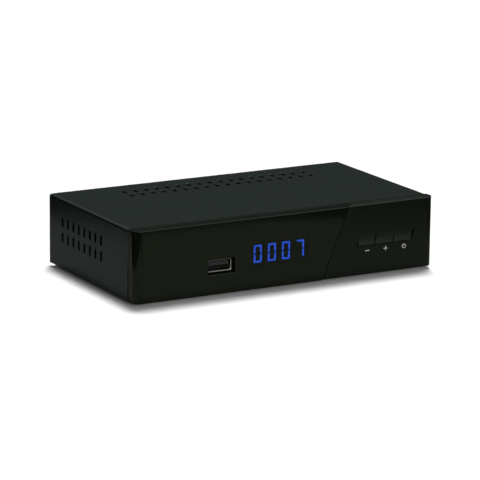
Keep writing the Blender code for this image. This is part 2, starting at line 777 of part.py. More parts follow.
def screw(name, length, material):
    """A pan-head screw; its head's seat is at its origin and its shank runs down."""
    crown = CROWN_SHARE * SCREW_HEAD_HEIGHT
    profile = [
        (0, -length),
        (SCREW_RADIUS, -length),
        (SCREW_RADIUS, 0),
        (SCREW_HEAD_RADIUS, 0),
        (SCREW_HEAD_RADIUS, SCREW_HEAD_HEIGHT - crown),
        (SCREW_HEAD_RADIUS - crown, SCREW_HEAD_HEIGHT),
        (0, SCREW_HEAD_HEIGHT),
    ]
    return dressed(turned(name, profile, SMALL_TURN_STEPS), material)


def screws(material, black):
    """Three in the cover's lip, two in the panel, two in the front board, four in the main one."""
    lip = screw("cover_screw_left", SCREW_LENGTH, black)
    names = ("cover_screw_left", "cover_screw_middle", "cover_screw_right")
    for name, (x, z) in zip(names, cover_screw_places()):
        at = (x, BACK_Y + SEAT_GAP, z)
        if name == lip.name:
            place(lip, at, TO_REAR)
        else:
            copy_of(lip, name, at, TO_REAR)

    first = screw("panel_screw_left", PANEL_SCREW_LENGTH, material)
    y = TRAY_FRONT + SHEET + SEAT_GAP
    for side, (x, z) in panel_screw_places().items():
        if side == "left":
            place(first, (x, y, z), TO_REAR)
        else:
            copy_of(first, f"panel_screw_{side}", (x, y, z), TO_REAR)
    for side, (x, z) in front_boss_places().items():
        at = (x, FRONT_BOARD_BACK + SEAT_GAP, z)
        copy_of(first, f"front_board_screw_{side}", at, TO_REAR)
    for corner, (x, y) in post_places().items():
        copy_of(first, f"board_screw_{corner}", (x, y, BOARD_TOP + SEAT_GAP))


# Front panel

def panel_form(name, front, inset, floor, rear, edge):
    """The panel's outer form, or one set in from it: round ends and a top that falls forward."""
    side, face = HALF_WIDTH - inset, front + inset
    corner = PANEL_CORNER - inset
    plan = [(-side, rear + OVERRUN), (-side, face), (side, face), (side, rear + OVERRUN)]
    low, high = floor - OVERRUN, TOP_Z + OVERRUN
    form = prism(name, "Z", low, high, filleted(plan, [0, corner, corner, 0]))
    profile = [
        (rear, floor),
        (face, floor),
        (face, TOP_Z - PANEL_FALL - inset),
        (WINDOW_REAR, TOP_Z - inset),
        (rear, TOP_Z - inset),
    ]
    rounds = [0, edge, edge, 0, 0]
    wide = HALF_WIDTH + OVERRUN
    trim(form, prism("profile", "X", -wide, wide, filleted(profile, rounds, ROUND_STEPS // 2)))
    return form


def window_zone(name, shift):
    """All before the ledge and left of the slanted, raked plane where the window ends."""
    mesh = bmesh.new()
    corners = []
    for z in (BASE_Z - 2 * OVERRUN, TOP_Z + 2 * OVERRUN):
        for y in (WINDOW_Y - 2 * OVERRUN, WINDOW_REAR + shift):
            end = WINDOW_END + SLANT_SHARE * (z - BASE_Z) + RAKE_SHARE * (y - PANEL_Y) + shift
            corners.append(mesh.verts.new((-HALF_WIDTH - 2 * OVERRUN, y, z)))
            corners.append(mesh.verts.new((end, y, z)))
    for face in ((0, 1, 3, 2), (4, 5, 7, 6), (0, 1, 5, 4), (2, 3, 7, 6), (0, 2, 6, 4), (1, 3, 7, 5)):
        mesh.faces.new([corners[index] for index in face])
    return linked(name, mesh)


def usb_aperture(name, chamfer):
    """The cutter of the memory-stick opening, with a chamfered mouth."""
    def outline(grow):
        centre = (USB_X, USB_Z)
        return rectangle(
            centre, USB_APERTURE_WIDTH + 2 * grow, USB_APERTURE_HEIGHT + 2 * grow,
            USB_APERTURE_ROUND + grow,
        )
    deep = WINDOW_Y + CAVITY_INSET + OVERRUN
    return loft(name, "Y", [
        (WINDOW_Y - OVERRUN, outline(chamfer + OVERRUN)),
        (WINDOW_Y + chamfer, outline(0)),
        (deep, outline(0)),
    ])


def front_window(material):
    """Smoked plate over the left of the panel: face, top slope and rounded left end, up to the ledge."""
    window = panel_form("front_window", WINDOW_Y, 0, BASE_Z, SEAM_Y, WINDOW_EDGE)
    inner = panel_form(
        "inner", WINDOW_Y, WINDOW_WALL, BASE_Z - OVERRUN, SEAM_Y + OVERRUN, 0
    )
    carve(window, inner)
    trim(window, window_zone("zone", 0))
    carve(window, usb_aperture("mouth", USB_CHAMFER))
    return dressed(window, material)


def front_boss_places():
    """Where the front board is screwed to the panel."""
    z = TOP_Z - FRONT_BOARD_MARGIN - FRONT_BOSS_INSET
    return {
        "left": (FRONT_BOARD_LEFT + FRONT_BOSS_INSET, z),
        "right": (FRONT_BOARD_RIGHT - FRONT_BOSS_INSET, z),
    }


def panel_bosses():
    """Screw bosses on the panel's inner side, and the bores in them."""
    root = PANEL_Y + PANEL_WALL / 2
    posts, bores = [], []
    for (x, z), end in [
        *((at, SEAM_Y) for at in panel_screw_places().values()),
        *((at, FRONT_BOARD_FACE - SEAT_GAP) for at in front_boss_places().values()),
    ]:
        posts.append(prism("boss", "Y", root + SHEET, end, circle((x, z), FRONT_BOSS_RADIUS)))
        tip = end - PANEL_SCREW_LENGTH
        bore = circle((x, z), SCREW_BORE, SMALL_TURN_STEPS)
        bores.append(prism("bore", "Y", tip, end + OVERRUN, bore))
    return gathered("bosses", posts), gathered("boss_bores", bores)


def front_panel(material):
    """Moulded panel: plain right end with the key opening, and a carrier behind the window."""
    panel = panel_form("front_panel", PANEL_Y, 0, BASE_Z, SEAM_Y, PANEL_EDGE)
    pocket = window_zone("pocket", SEAT_GAP)
    carve(pocket, panel_form(
        "carrier", WINDOW_Y, CARRIER_INSET, BASE_Z - 3 * OVERRUN, SEAM_Y + 3 * OVERRUN, 0
    ))
    carve(panel, pocket)
    floor = BASE_Z + PANEL_WALL
    carve(panel, panel_form("cavity", WINDOW_Y, CAVITY_INSET, floor, SEAM_Y + OVERRUN, 0))

    low = (KEY_ROW_START - KEY_BAY_MARGIN, PANEL_Y + PANEL_WALL, floor + PANEL_WALL)
    high = (HALF_WIDTH - PANEL_CORNER, SEAM_Y + 2 * OVERRUN, TOP_Z - PANEL_FALL - 2 * PANEL_WALL)
    carve(panel, block("key_bay", low, high))
    bosses, bores = panel_bosses()
    fuse(panel, bosses)
    carve(panel, bores)

    opening = slanted(KEY_ROW_START, KEY_COUNT * KEY_PITCH, KEY_FLOOR_Z, KEY_TOP_Z)
    carve(panel, prism(
        "key_opening", "Y", PANEL_Y - OVERRUN, PANEL_Y + PANEL_WALL + OVERRUN, opening
    ))
    behind = WINDOW_Y + CAVITY_INSET + OVERRUN
    display = rectangle(
        (DISPLAY_X, DISPLAY_Z), DISPLAY_WIDTH + 2 * SEAT_GAP, DISPLAY_HEIGHT + 2 * SEAT_GAP
    )
    eye = circle(
        (RECEIVER_EYE_X, BASE_Z + RECEIVER_EYE_HEIGHT), RECEIVER_EYE_RADIUS + SEAT_GAP
    )
    ways = [prism("way", "Y", WINDOW_Y, behind, outline) for outline in (display, eye)]
    carve(panel, gathered("ways", ways), usb_aperture("usb_way", 0))
    return dressed(panel, material)


# Keys and their switches

def key_left(index):
    """The left end of a key's own cell, at the floor of the row."""
    return KEY_ROW_START + index * KEY_PITCH


def key_middle(index):
    """The middle of a key's cell across the panel."""
    return key_left(index) + (KEY_PITCH + KEY_LEAN) / 2


def key_cap(index, material):
    """A leaning key with a finger scoop in its face and a flange that the panel keeps in."""
    name = f"{KEY_NAMES[index]}_key"
    floor, ceiling = KEY_FLOOR_Z + KEY_CLEARANCE, KEY_TOP_Z - KEY_CLEARANCE
    lean = SLANT_SHARE * KEY_CLEARANCE
    left, width = key_left(index) + KEY_CLEARANCE + lean, KEY_PITCH - 2 * KEY_CLEARANCE
    root = KEY_FLANGE_FACE + KEY_FLANGE / 2
    cap = prism(name, "Y", PANEL_Y - OVERRUN, root, slanted(left, width, floor, ceiling))
    scoop = []
    for step in range(SCOOP_STEPS + 1):
        rise = step / SCOOP_STEPS
        depth = KEY_FLUSH + KEY_SCOOP * math.sin(rise * math.pi / 2)
        scoop.append((PANEL_Y + depth, floor + (ceiling - floor) * rise))
    below, above = floor - OVERRUN, ceiling + OVERRUN
    outline = [(scoop[0][0], below), *scoop, (scoop[-1][0], above)]
    outline += [(root + OVERRUN, above), (root + OVERRUN, below)]
    right = left + width + KEY_LEAN + OVERRUN
    trim(cap, prism("scooped", "X", left - OVERRUN, right, outline))

    low, high = floor - KEY_FLANGE_LIP, ceiling + KEY_FLANGE_LIP
    start = left - SLANT_SHARE * KEY_FLANGE_LIP
    flange = slanted(start, width, low, high)
    fuse(cap, prism("flange", "Y", KEY_FLANGE_FACE, KEY_FLANGE_FACE + KEY_FLANGE, flange))
    set_origin(cap, (key_middle(index), PANEL_Y, KEY_MIDDLE_Z))
    return dressed(cap, material)


def key_switches(body_material, plunger_material):
    """A square push switch behind each key, with its round plunger against the key."""
    outline = rectangle((0, 0), SWITCH_SIDE, SWITCH_SIDE, SWITCH_EDGE, 1)
    body = prism("channel_down_switch", "Z", -SWITCH_HEIGHT, 0, outline)
    carve(body, prism(
        "pocket", "Z", -SWITCH_POCKET, OVERRUN, circle((0, 0), PLUNGER_RADIUS + SEAT_GAP)
    ))
    dressed(body, body_material)
    profile = [
        (0, -PLUNGER_DEPTH),
        (PLUNGER_RADIUS, -PLUNGER_DEPTH),
        (PLUNGER_RADIUS, PLUNGER_REACH),
        (0, PLUNGER_REACH),
    ]
    plunger = dressed(turned("channel_down_plunger", profile), plunger_material)
    for index, name in enumerate(KEY_NAMES):
        at = (key_middle(index), SWITCH_FACE, KEY_MIDDLE_Z)
        if index == 0:
            place(body, at, TO_FRONT)
            place(plunger, at, TO_FRONT)
        else:
            copy_of(body, f"{name}_switch", at, TO_FRONT)
            copy_of(plunger, f"{name}_plunger", at, TO_FRONT)


# Display, remote-control eye and front board

def segment_bars(middle, centre_z):
    """The seven bars of one figure, with pointed ends, as outlines."""
    half_width, half_height = (DIGIT_WIDTH - SEGMENT_WIDTH) / 2, (DIGIT_HEIGHT - SEGMENT_WIDTH) / 2
    half, gap = SEGMENT_WIDTH / 2, SEGMENT_GAP

    def lying(z):
        left, right = middle - half_width + gap, middle + half_width - gap
        return [
            (left, z), (left + half, z - half), (right - half, z - half),
            (right, z), (right - half, z + half), (left + half, z + half),
        ]

    def standing(x, low, high):
        low, high = low + gap, high - gap
        return [
            (x, low), (x + half, low + half), (x + half, high - half),
            (x, high), (x - half, high - half), (x - half, low + half),
        ]

    bars = [lying(centre_z + side * half_height) for side in (-1, 0, 1)]
    for x in (middle - half_width, middle + half_width):
        bars.append(standing(x, centre_z - half_height, centre_z))
        bars.append(standing(x, centre_z, centre_z + half_height))
    return bars


def display_module(material):
    """A four-figure display: a block on the front board with raised bars on its face."""
    face = CARRIER_FACE + SEGMENT_RISE
    back = FRONT_BOARD_FACE - SEAT_GAP
    outline = rectangle((DISPLAY_X, DISPLAY_Z), DISPLAY_WIDTH, DISPLAY_HEIGHT)
    module = prism("display_module", "Y", face, back, outline)
    bars = []
    for index in range(DIGIT_COUNT):
        middle = DISPLAY_X + (index - (DIGIT_COUNT - 1) / 2) * DIGIT_PITCH
        for bar in segment_bars(middle, DISPLAY_Z):
            bars.append(prism("bar", "Y", CARRIER_FACE, face + SEGMENT_RISE, bar))
    fuse(module, gathered("bars", bars))
    return dressed(module, material)


def remote_eye(material):
    """The infrared receiver: a square package with a domed lens towards the window."""
    centre = (RECEIVER_EYE_X, BASE_Z + RECEIVER_EYE_HEIGHT)
    back = FRONT_BOARD_FACE - SEAT_GAP
    eye = prism(
        "remote_eye", "Y", back - RECEIVER_EYE_DEPTH, back,
        rectangle(centre, RECEIVER_EYE_SIDE, RECEIVER_EYE_SIDE, CHIP_EDGE, 1),
    )
    tip = CARRIER_FACE + SEAT_GAP
    dome = RECEIVER_EYE_RADIUS
    neck = back - RECEIVER_EYE_DEPTH - tip
    profile = [(0, -OVERRUN), (dome, -OVERRUN), (dome, max(0, neck - dome))]
    for step in range(1, ROUND_STEPS + 1):
        angle = math.pi / 2 * step / ROUND_STEPS
        profile.append((dome * math.cos(angle), neck - dome + dome * math.sin(angle)))
    profile[-1] = (0, neck)
    lens = turned("lens", profile, SMALL_TURN_STEPS)
    place(lens, (centre[0], back - RECEIVER_EYE_DEPTH, centre[1]), TO_FRONT)
    fuse(eye, lens)
    return dressed(eye, material)


def front_board(material):
    """Upright board behind the panel, with two screw holes."""
    low = (FRONT_BOARD_LEFT, FRONT_BOARD_FACE, BASE_Z + FRONT_BOARD_MARGIN)
    high = (FRONT_BOARD_RIGHT, FRONT_BOARD_BACK, TOP_Z - FRONT_BOARD_MARGIN)
    board = block("front_board", low, high)
    low, high = FRONT_BOARD_FACE - OVERRUN, FRONT_BOARD_BACK + OVERRUN
    holes = [
        prism("hole", "Y", low, high, circle(at, SCREW_BORE, SMALL_TURN_STEPS))
        for at in front_boss_places().values()
    ]
    carve(board, gathered("holes", holes))
    return dressed(board, material)


# Memory-stick socket

def usb_shell(material):
    """The socket's folded metal shell, open at both ends."""
    centre = (USB_X, USB_Z)
    shell = prism("usb_shell", "Y", USB_MOUTH, USB_MOUTH + USB_SHELL_LENGTH, rectangle(
        centre, USB_SHELL_WIDTH, USB_SHELL_HEIGHT, USB_SHELL_ROUND
    ))
    wall = USB_SHELL_WALL
    inside = rectangle(
        centre, USB_SHELL_WIDTH - 2 * wall, USB_SHELL_HEIGHT - 2 * wall, USB_SHELL_ROUND - wall
    )
    low, high = USB_MOUTH - OVERRUN, USB_MOUTH + USB_SHELL_LENGTH + OVERRUN
    carve(shell, prism("inside", "Y", low, high, inside))
    return dressed(shell, material)


def usb_tongue(material):
    """The insulator: a block that closes the rear of the shell and a tongue near its ceiling."""
    inside = USB_SHELL_WALL + SEAT_GAP
    width, height = USB_SHELL_WIDTH - 2 * inside, USB_SHELL_HEIGHT - 2 * inside
    end = USB_MOUTH + USB_SHELL_LENGTH
    tongue = prism(
        "usb_tongue", "Y", end - USB_BLOCK_LENGTH, end, rectangle((USB_X, USB_Z), width, height)
    )
    top = USB_Z + USB_SHELL_HEIGHT / 2 - USB_SHELL_WALL - USB_TONGUE_DROP
    fuse(tongue, block(
        "plate",
        (USB_X - USB_TONGUE_WIDTH / 2, USB_MOUTH + USB_TONGUE_RECESS, top - USB_TONGUE_THICKNESS),
        (USB_X + USB_TONGUE_WIDTH / 2, end - USB_BLOCK_LENGTH / 2, top),
    ))
    return dressed(tongue, material)


# Main board and what stands on it

def main_board(material):
    """The board over the tray's posts, with a screw hole at each corner."""
    board = block(
        "main_board", (-BOARD_HALF, BOARD_FRONT, BOARD_BOTTOM), (BOARD_HALF, BOARD_BACK, BOARD_TOP)
    )
    holes = [
        prism(
            "hole", "Z", BOARD_BOTTOM - OVERRUN, BOARD_TOP + OVERRUN,
            circle(at, SCREW_BORE, SMALL_TURN_STEPS),
        )
        for at in post_places().values()
    ]
    carve(board, gathered("holes", holes))
    return dressed(board, material)


def on_board(shares):
    """A place on the main board, from its shares of the board's width and depth."""
    x = -BOARD_HALF + shares[0] * 2 * BOARD_HALF
    return x, BOARD_FRONT + shares[1] * (BOARD_BACK - BOARD_FRONT)


def chip(name, shares, width, length, height, edge, material):
    """A package on the board with broken edges."""
    centre = on_board(shares)
    inner = rectangle(centre, width - 2 * edge, length - 2 * edge)
    outer = rectangle(centre, width, length)
    package = loft(name, "Z", [
        (PART_Z, outer),
        (PART_Z + height - edge, outer),
        (PART_Z + height, inner),
    ])
    return dressed(package, material)


def heat_sink(material):
    """An extruded comb of fins over the processor."""
    x, y = on_board(PROCESSOR_SHARES)
    floor = PART_Z + PROCESSOR_HEIGHT + SEAT_GAP
    pitch = (SINK_SIDE - SINK_FIN) / (SINK_FINS - 1)
    left = x - SINK_SIDE / 2
    outline = [(left, floor), (left + SINK_SIDE, floor)]
    for index in reversed(range(SINK_FINS)):
        start = left + index * pitch
        outline += [(start + SINK_FIN, floor + SINK_HEIGHT), (start, floor + SINK_HEIGHT)]
        if index:
            gap_end = start - pitch + SINK_FIN
            outline += [(start, floor + SINK_BASE), (gap_end, floor + SINK_BASE)]
    sink = prism("heat_sink", "Y", y - SINK_SIDE / 2, y + SINK_SIDE / 2, outline)
    return dressed(sink, material)


def capacitors(material):
    """Three cans, each with the rolled groove near its foot."""
    r, h, groove, neck = CAPACITOR_RADIUS, CAPACITOR_HEIGHT, CAPACITOR_GROOVE, CAPACITOR_NECK
    profile = [
        (0, 0), (r - groove, 0), (r, groove), (r, neck), (r - groove, neck + groove),
        (r, neck + 2 * groove), (r, h - groove), (r - groove, h), (0, h),
    ]
    first = dressed(turned("capacitor_1", profile, SMALL_TURN_STEPS), material)
    for index, shares in enumerate(CAPACITOR_SHARES):
        at = (*on_board(shares), PART_Z)
        if index == 0:
            place(first, at)
        else:
            copy_of(first, f"capacitor_{index + 1}", at)


def ribbon_and_headers(cable_material, header_material):
    """A flat cable that leaves the front board rearwards and turns down to the main board."""
    half = RIBBON_THICKNESS / 2
    start_y = HEADER_Y - RIBBON_BEND
    centre = (start_y, RIBBON_END_Z)
    outer = arc_points(
        centre, (start_y, FRONT_HEADER_Z + half), (HEADER_Y + half, RIBBON_END_Z), RIBBON_STEPS
    )
    inner = arc_points(
        centre, (HEADER_Y - half, RIBBON_END_Z), (start_y, FRONT_HEADER_Z - half), RIBBON_STEPS
    )
    left, right = RIBBON_X - RIBBON_WIDTH / 2, RIBBON_X + RIBBON_WIDTH / 2
    dressed(prism("ribbon_cable", "X", left, right, outer + inner), cable_material)

    outline = rectangle((0, 0), HEADER_WIDTH, HEADER_DEPTH, HEADER_ROUND, 1)
    header = dressed(prism("main_header", "Z", 0, HEADER_HEIGHT, outline), header_material)
    place(header, (RIBBON_X, HEADER_Y, PART_Z))
    at = (RIBBON_X, FRONT_BOARD_BACK + SEAT_GAP, FRONT_HEADER_Z)
    copy_of(header, "front_header", at, TO_REAR)


# Tuner and aerial sockets

def tuner(material):
    """A tinplate can, open at the top, and the lid whose skirt goes over it."""
    low = Vector((TUNER_X - TUNER_WIDTH / 2, TUNER_BACK - TUNER_LENGTH, PART_Z))
    high = Vector((TUNER_X + TUNER_WIDTH / 2, TUNER_BACK, PART_Z + TUNER_HEIGHT))
    wall = Vector((TUNER_WALL, TUNER_WALL, TUNER_WALL))
    lift = Vector((0, 0, OVERRUN + TUNER_WALL))
    skirt_gap = TUNER_WALL + SEAT_GAP
    inset = Vector((skirt_gap, skirt_gap, 0))

    can = block("tuner_can", low + inset, high - inset)
    carve(can, block("inside", low + inset + wall, high - inset - wall + lift))
    lid_floor = high.z - TUNER_SKIRT
    lid = block("tuner_lid", (low.x, low.y, lid_floor), high + Vector((0, 0, skirt_gap)))
    top = high.z + SEAT_GAP
    carve(lid, block(
        "inside", (low.x + TUNER_WALL, low.y + TUNER_WALL, lid_floor - OVERRUN),
        (high.x - TUNER_WALL, high.y - TUNER_WALL, top),
    ))
    dressed(can, material)
    dressed(lid, material)


def aerial_barrel(name, x, radius, bore, material):
    """A turned sleeve with a flange against the can; it stands out of the rear wall."""
    length = AERIAL_TIP - AERIAL_ROOT
    edge = BARREL_EDGE
    barrel = turned(name, [
        (0, AERIAL_FLOOR), (bore, AERIAL_FLOOR), (bore, length - edge), (bore + edge / 2, length),
        (radius - edge / 2, length), (radius, length - edge), (radius, AERIAL_FLANGE),
        (AERIAL_FLANGE_RADIUS, AERIAL_FLANGE), (AERIAL_FLANGE_RADIUS, 0), (0, 0),
    ])
    place(barrel, (x, AERIAL_ROOT, AERIAL_Z), TO_REAR)
    return dressed(barrel, material)


def aerial_sockets(metal, insulator, contact):
    """The input takes a pin in its spring socket; the loop output carries a pin of its own."""
    aerial_barrel("aerial_in_barrel", AERIAL_IN_X, AERIAL_IN_RADIUS, AERIAL_IN_BORE, metal)
    aerial_barrel("aerial_out_barrel", AERIAL_OUT_X, AERIAL_OUT_RADIUS, AERIAL_OUT_BORE, metal)
    floor = AERIAL_ROOT + AERIAL_FLOOR + SEAT_GAP
    seat = AERIAL_FLANGE
    tip = AERIAL_TIP - AERIAL_TIP_RECESS - floor
    socket = turned("aerial_in_contact", [
        (0, 0), (AERIAL_IN_BORE - SEAT_GAP, 0), (AERIAL_IN_BORE - SEAT_GAP, seat),
        (AERIAL_CONTACT_RADIUS, seat), (AERIAL_CONTACT_RADIUS, tip),
        (AERIAL_CONTACT_BORE, tip), (AERIAL_CONTACT_BORE, seat), (0, seat),
    ])
    place(socket, (AERIAL_IN_X, floor, AERIAL_Z), TO_REAR)
    dressed(socket, insulator)
    point = AERIAL_PIN_RADIUS / 2
    pin = turned("aerial_out_pin", [
        (0, 0), (AERIAL_OUT_BORE - SEAT_GAP, 0), (AERIAL_OUT_BORE - SEAT_GAP, seat),
        (AERIAL_PIN_RADIUS, seat), (AERIAL_PIN_RADIUS, tip - point), (point, tip), (0, tip),
    ])
    place(pin, (AERIAL_OUT_X, floor, AERIAL_Z), TO_REAR)
    dressed(pin, contact)


# Picture, sound and power sockets

def hdmi_outline(inset):
    """The picture socket's mouth: a rectangle whose lower corners are cut off."""
    half, low, high = HDMI_WIDTH / 2 - inset, HDMI_Z - HDMI_HEIGHT / 2, HDMI_Z + HDMI_HEIGHT / 2
    narrow = half - HDMI_CORNER_WIDTH
    shoulder = low + HDMI_CORNER_HEIGHT
    return [
        (HDMI_X - narrow, low + inset), (HDMI_X + narrow, low + inset), (HDMI_X + half, shoulder),
        (HDMI_X + half, high - inset), (HDMI_X - half, high - inset), (HDMI_X - half, shoulder),
    ]


def hdmi_socket(metal, plastic):
    """A metal shell and the insulator with its tongue."""
    face = TRAY_BACK + HDMI_PROUD
    start = face - HDMI_LENGTH
    shell = prism("hdmi_shell", "Y", start, face, hdmi_outline(0))
    carve(shell, prism("inside", "Y", start - OVERRUN, face + OVERRUN, hdmi_outline(HDMI_WALL)))
    dressed(shell, metal)
    inner = hdmi_outline(HDMI_WALL + SEAT_GAP)
    tongue = prism("hdmi_tongue", "Y", start, start + HDMI_BLOCK_LENGTH, inner)
    half, thick = HDMI_TONGUE_WIDTH / 2, HDMI_TONGUE_THICKNESS / 2
    fuse(tongue, block(
        "plate", (HDMI_X - half, start + HDMI_BLOCK_LENGTH / 2, HDMI_Z - thick),
        (HDMI_X + half, face - HDMI_TONGUE_RECESS, HDMI_Z + thick),
    ))
    dressed(tongue, plastic)


def scart_outline(inset):
    """The plug's shell: one end upright, the other cut off at a slant."""
    half, tall = SCART_SHELL_WIDTH / 2 - inset, SCART_SHELL_HEIGHT / 2 - inset
    low, high = SCART_Z - tall, SCART_Z + tall
    left, right = SCART_X - half, SCART_X + half
    return [
        (left, low), (right - SCART_SHELL_SKEW, low),
        (right, low + SCART_SHELL_SKEW), (right, high), (left, high),
    ]


def scart_socket(material):
    """A block with a groove for the plug's shell round an island of contact slots."""
    start = TRAY_BACK - SCART_LENGTH
    socket = prism("scart_socket", "Y", start, TRAY_BACK, rectangle(
        (SCART_X, SCART_Z), SCART_WIDTH, SCART_HEIGHT
    ))
    floor = TRAY_BACK - SCART_DEPTH
    groove = prism("groove", "Y", floor, TRAY_BACK + OVERRUN, scart_outline(0))
    island = scart_outline(SCART_GROOVE)
    carve(groove, prism("island", "Y", floor - OVERRUN, TRAY_BACK + 2 * OVERRUN, island))
    carve(socket, groove)
    slots = []
    for row in (-1, 1):
        z = SCART_Z + row * SCART_ROW_PITCH / 2
        for index in range(SCART_COLUMNS):
            shift = (index - (SCART_COLUMNS - 1) / 2) * SCART_PITCH
            x = SCART_X + shift + (row - 1) * SCART_STAGGER / 2
            outline = rectangle((x, z), SCART_SLOT_WIDTH, SCART_SLOT_HEIGHT)
            slots.append(prism("slot", "Y", floor, TRAY_BACK + OVERRUN, outline))
    carve(socket, gathered("slots", slots))
    return dressed(socket, material)


def sound_socket(plastic, metal):
    """A plastic body whose nose fills a metal barrel behind the wall's opening."""
    start = COAX_FACE - COAX_BODY_LENGTH
    middle = PART_Z + COAX_BODY_HEIGHT / 2
    body = prism("sound_socket_body", "Y", start, COAX_FACE, rectangle(
        (COAX_X, middle), COAX_BODY_WIDTH, COAX_BODY_HEIGHT
    ))
    tip = BACK_Y + COAX_REACH
    nose = COAX_RADIUS - COAX_WALL - SEAT_GAP
    nose_tip = tip - COAX_NOSE_RECESS
    fuse(body, prism("nose", "Y", COAX_FACE - OVERRUN, nose_tip, circle((COAX_X, COAX_Z), nose)))
    bore = circle((COAX_X, COAX_Z), COAX_BORE, SMALL_TURN_STEPS)
    carve(body, prism("bore", "Y", COAX_FACE, nose_tip + OVERRUN, bore))
    dressed(body, plastic)

    length, edge, inside = tip - COAX_FACE - SEAT_GAP, BARREL_EDGE, COAX_RADIUS - COAX_WALL
    barrel = turned("sound_socket_barrel", [
        (inside, 0), (COAX_RADIUS, 0), (COAX_RADIUS, length - edge),
        (COAX_RADIUS - edge / 2, length), (inside, length),
    ])
    place(barrel, (COAX_X, COAX_FACE + SEAT_GAP, COAX_Z), TO_REAR)
    dressed(barrel, metal)


def power_inlet(plastic, metal):
    """A round inlet for a low-voltage plug: a body with a collar, and the pin in its bore."""
    face = TRAY_BACK
    shoulder = TRAY_BACK - SHEET - SEAT_GAP
    middle = PART_Z + POWER_BODY_HEIGHT / 2
    body = prism("power_inlet_body", "Y", shoulder - POWER_BODY_LENGTH, shoulder, rectangle(
        (POWER_X, middle), POWER_BODY_WIDTH, POWER_BODY_HEIGHT
    ))
    at = (POWER_X, POWER_Z)
    fuse(body, prism("collar", "Y", shoulder - OVERRUN, face, circle(at, POWER_COLLAR_RADIUS)))
    floor = face - POWER_BORE_DEPTH
    carve(body, prism("bore", "Y", floor, face + OVERRUN, circle(at, POWER_BORE)))
    dressed(body, plastic)
    length = POWER_BORE_DEPTH - SEAT_GAP - POWER_PIN_RECESS
    pin = turned("power_inlet_pin", [
        (0, 0), (POWER_PIN_ROOT_RADIUS, 0), (POWER_PIN_ROOT_RADIUS, POWER_PIN_ROOT),
        (POWER_PIN_RADIUS, POWER_PIN_ROOT), (POWER_PIN_RADIUS, length), (0, length),
    ], SMALL_TURN_STEPS)
    place(pin, (POWER_X, floor + SEAT_GAP, POWER_Z), TO_REAR)
    dressed(pin, metal)


def build():
    """Clears the scene and makes every piece of the receiver."""
    for old in list(bpy.data.objects):
        bpy.data.objects.remove(old, do_unlink=True)

    coated = finish("black_coated_steel", "#23292A", 0.5)
    zinc = finish("zinc_plated_steel", "#9A9C98", 0.35, 1.0)
    tin = finish("tinned_steel", "#B4B5B0", 0.3, 1.0)
    black = finish("black_abs", "#16181A", 0.3)
    smoked = finish("smoked_window_plastic", "#0D0F0F", 0.08)
    rubber = finish("black_rubber", "#1A1A1A", 0.85)
    laminate = finish("green_board_laminate", "#1F5A34", 0.4)
    display = finish("display_resin", "#1B1D22", 0.35)
    nickel = finish("nickel_plated_brass", "#B9B4A6", 0.25, 1.0)
    white = finish("white_insulator", "#D8D6CC", 0.5)
    orange = finish("orange_insulator", "#C8641E", 0.45)
    sink = finish("anodised_aluminium", "#3A3D40", 0.45, 1.0)
    resin = finish("chip_resin", "#202123", 0.5)
    sleeve = finish("capacitor_sleeve", "#20242E", 0.35)
    cable = finish("grey_ribbon", "#8E9094", 0.6)

    top_cover(coated)
    base_tray(zinc)
    front_panel(black)
    front_window(smoked)
    rubber_feet(rubber)
    screws(zinc, coated)
    for index in range(KEY_COUNT):
        key_cap(index, black)
    key_switches(resin, black)
    display_module(display)
    remote_eye(resin)
    front_board(laminate)
    usb_shell(tin)
    usb_tongue(black)
    main_board(laminate)
    tuner(tin)
    aerial_sockets(nickel, white, nickel)
    hdmi_socket(tin, black)
    scart_socket(black)
    sound_socket(orange, nickel)
    power_inlet(black, nickel)
    chip("processor", PROCESSOR_SHARES, PROCESSOR_SIDE, PROCESSOR_SIDE, PROCESSOR_HEIGHT,
         CHIP_EDGE, resin)
    heat_sink(sink)
    chip("memory_chip", MEMORY_SHARES, MEMORY_WIDTH, MEMORY_LENGTH, MEMORY_HEIGHT,
         CHIP_EDGE, resin)
    chip("flash_chip", FLASH_SHARES, FLASH_WIDTH, FLASH_LENGTH, FLASH_HEIGHT, CHIP_EDGE, resin)
    chip("crystal_can", CRYSTAL_SHARES, CRYSTAL_LENGTH, CRYSTAL_WIDTH, CRYSTAL_HEIGHT,
         CHIP_EDGE, tin)
    chip("power_coil", COIL_SHARES, COIL_SIDE, COIL_SIDE, COIL_HEIGHT, CHIP_EDGE, resin)
    capacitors(sleeve)
    ribbon_and_headers(cable, white)

    receiver = bpy.data.objects.new("television_receiver", None)
    bpy.context.scene.collection.objects.link(receiver)
    for piece in bpy.data.objects:
        if piece.type == "MESH":
            piece.parent = receiver


build()
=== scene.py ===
"""Looks of a terrestrial television receiver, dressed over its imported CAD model."""

import math

import bmesh
import bpy
from mathutils import Matrix, Vector


